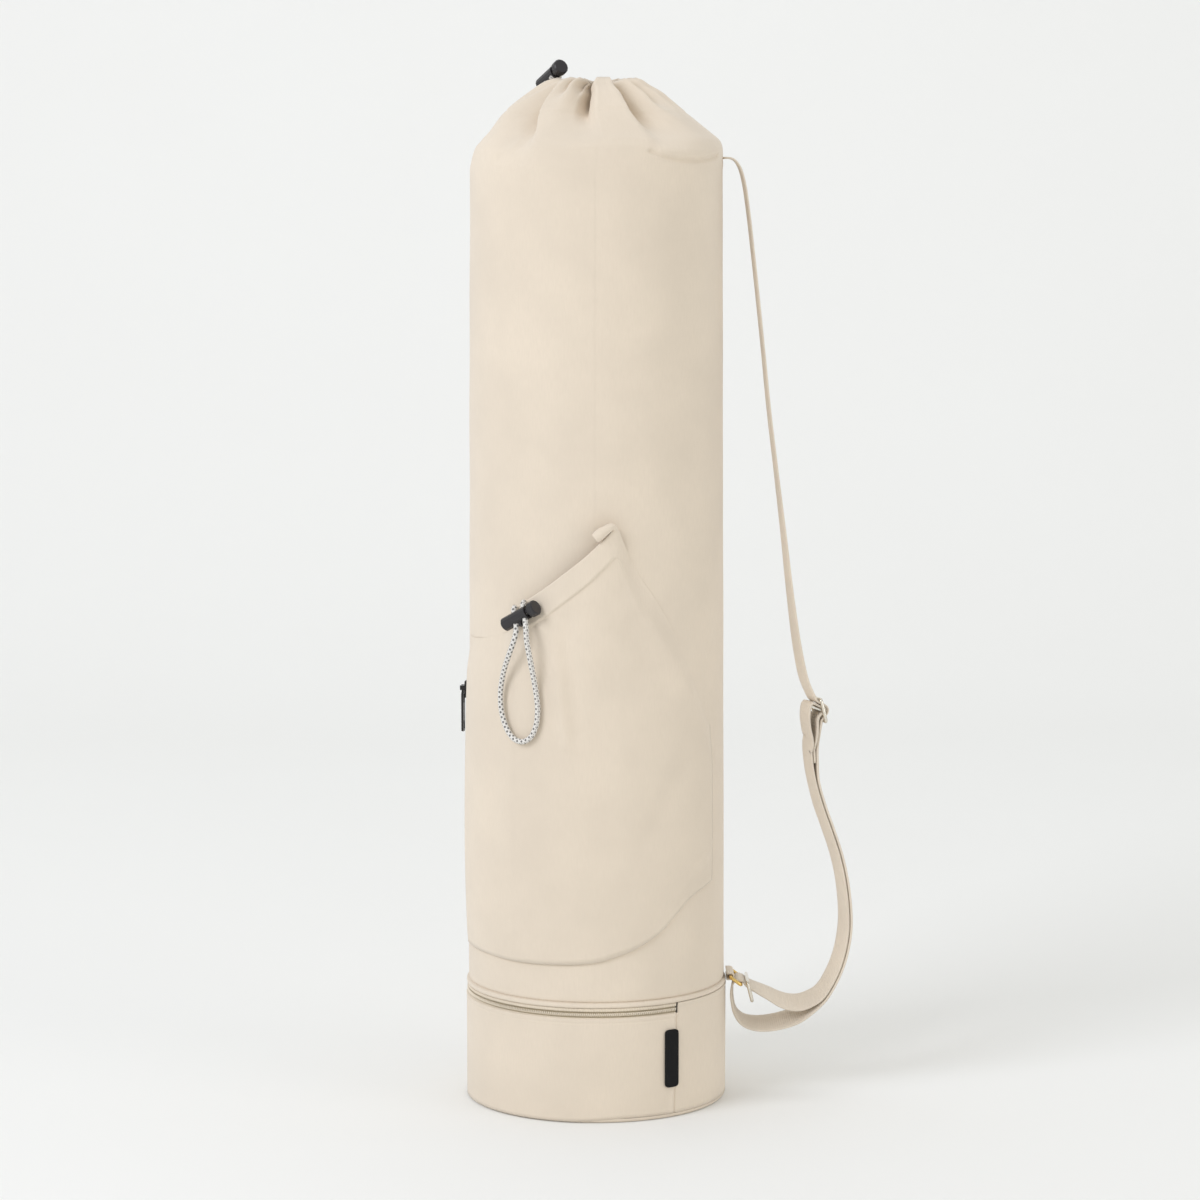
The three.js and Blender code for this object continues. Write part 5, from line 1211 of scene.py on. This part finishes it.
SIDE_ZIP_ANGLE = -100
SIDE_ZIP_BOTTOM = 115
SIDE_ZIP_TOP = 303


def on_side_zip(along, across, out):
    radius = tube_radius(SIDE_ZIP_BOTTOM + along) + TAPE_SEAT
    angle = SIDE_ZIP_ANGLE + np.degrees((across - TAPE_WIDTH / 2) / radius)
    return on_bag(angle, radius + out, SIDE_ZIP_BOTTOM + along)


SIDE_ZIP_FLAPS = [(0.6, 4.4, 1.4), (7.6, 11.4, 1.4)]
side_zip_length = SIDE_ZIP_TOP - SIDE_ZIP_BOTTOM
make_zip("side_zip_fine", "side_zip", on_side_zip, side_zip_length, TAPE_WIDTH / 2, SIDE_ZIP_FLAPS)

# %% Light the scene
# %% [markdown]
# The bag stands on a white sweep of paper. One very large soft light stands at the front left, a weak one
# fills the right, a third one evens out the paper behind, and the white room fills the shadows.
SWEEP_HALF_WIDTH = 4.0
SWEEP_NEAR = -3.2
SWEEP_FLAT_END = 1.6
SWEEP_BEND = 1.2
sweep_line = [(SWEEP_NEAR, 0.0), (SWEEP_FLAT_END, 0.0)]
sweep_line += [
    (SWEEP_FLAT_END + SWEEP_BEND * math.sin(a), SWEEP_BEND * (1 - math.cos(a)))
    for a in np.radians(np.linspace(4, 90, 24))
]
sweep_line.append((SWEEP_FLAT_END + SWEEP_BEND, 4.5))
sweep_points = [(side * SWEEP_HALF_WIDTH, y, z) for y, z in sweep_line for side in (-1, 1)]
sweep_faces = [(2 * i, 2 * i + 1, 2 * i + 3, 2 * i + 2) for i in range(len(sweep_line) - 1)]
paper_finish, add, plug = start_finish("white paper sweep", roughness=0.9)
paper_place = add("ShaderNodeTexCoord").outputs["Object"]
paper_grain = noise(add, paper_place, 3.0)
plug(blend_colours(add, paper_grain, (0.87, 0.87, 0.855, 1), (0.88, 0.885, 0.87, 1)), "Base Color")
sweep = make_object("paper_sweep", sweep_points, sweep_faces, None, paper_finish)


def area_light(name, place, target, size, power, colour=(1, 1, 1)):
    """A square soft light that faces a point."""
    data = bpy.data.lights.new(name, "AREA")
    data.size = size
    data.energy = power
    data.color = colour
    lamp = bpy.data.objects.new(name, data)
    lamp.location = place
    lamp.rotation_euler = (Vector(target) - Vector(place)).to_track_quat("-Z", "Y").to_euler()
    bpy.context.scene.collection.objects.link(lamp)


area_light("big soft light", (-2.4, -2.2, 2.2), (0, 0, 0.35), 1.8, 54, (0.965, 0.985, 1.06))
area_light("weak right fill", (2.6, -1.6, 1.0), (0, 0, 0.3), 1.6, 14, (1, 0.965, 0.91))
area_light("backdrop light", (0, 0.9, 3.4), (0, 2.8, 1.0), 2.2, 15)
room = bpy.data.worlds.new("white room")
room.use_nodes = True
room.node_tree.nodes["Background"].inputs["Color"].default_value = (0.985, 0.99, 0.985, 1)
room.node_tree.nodes["Background"].inputs["Strength"].default_value = 0.7
bpy.context.scene.world = room
bpy.context.scene.view_settings.view_transform = "Standard"
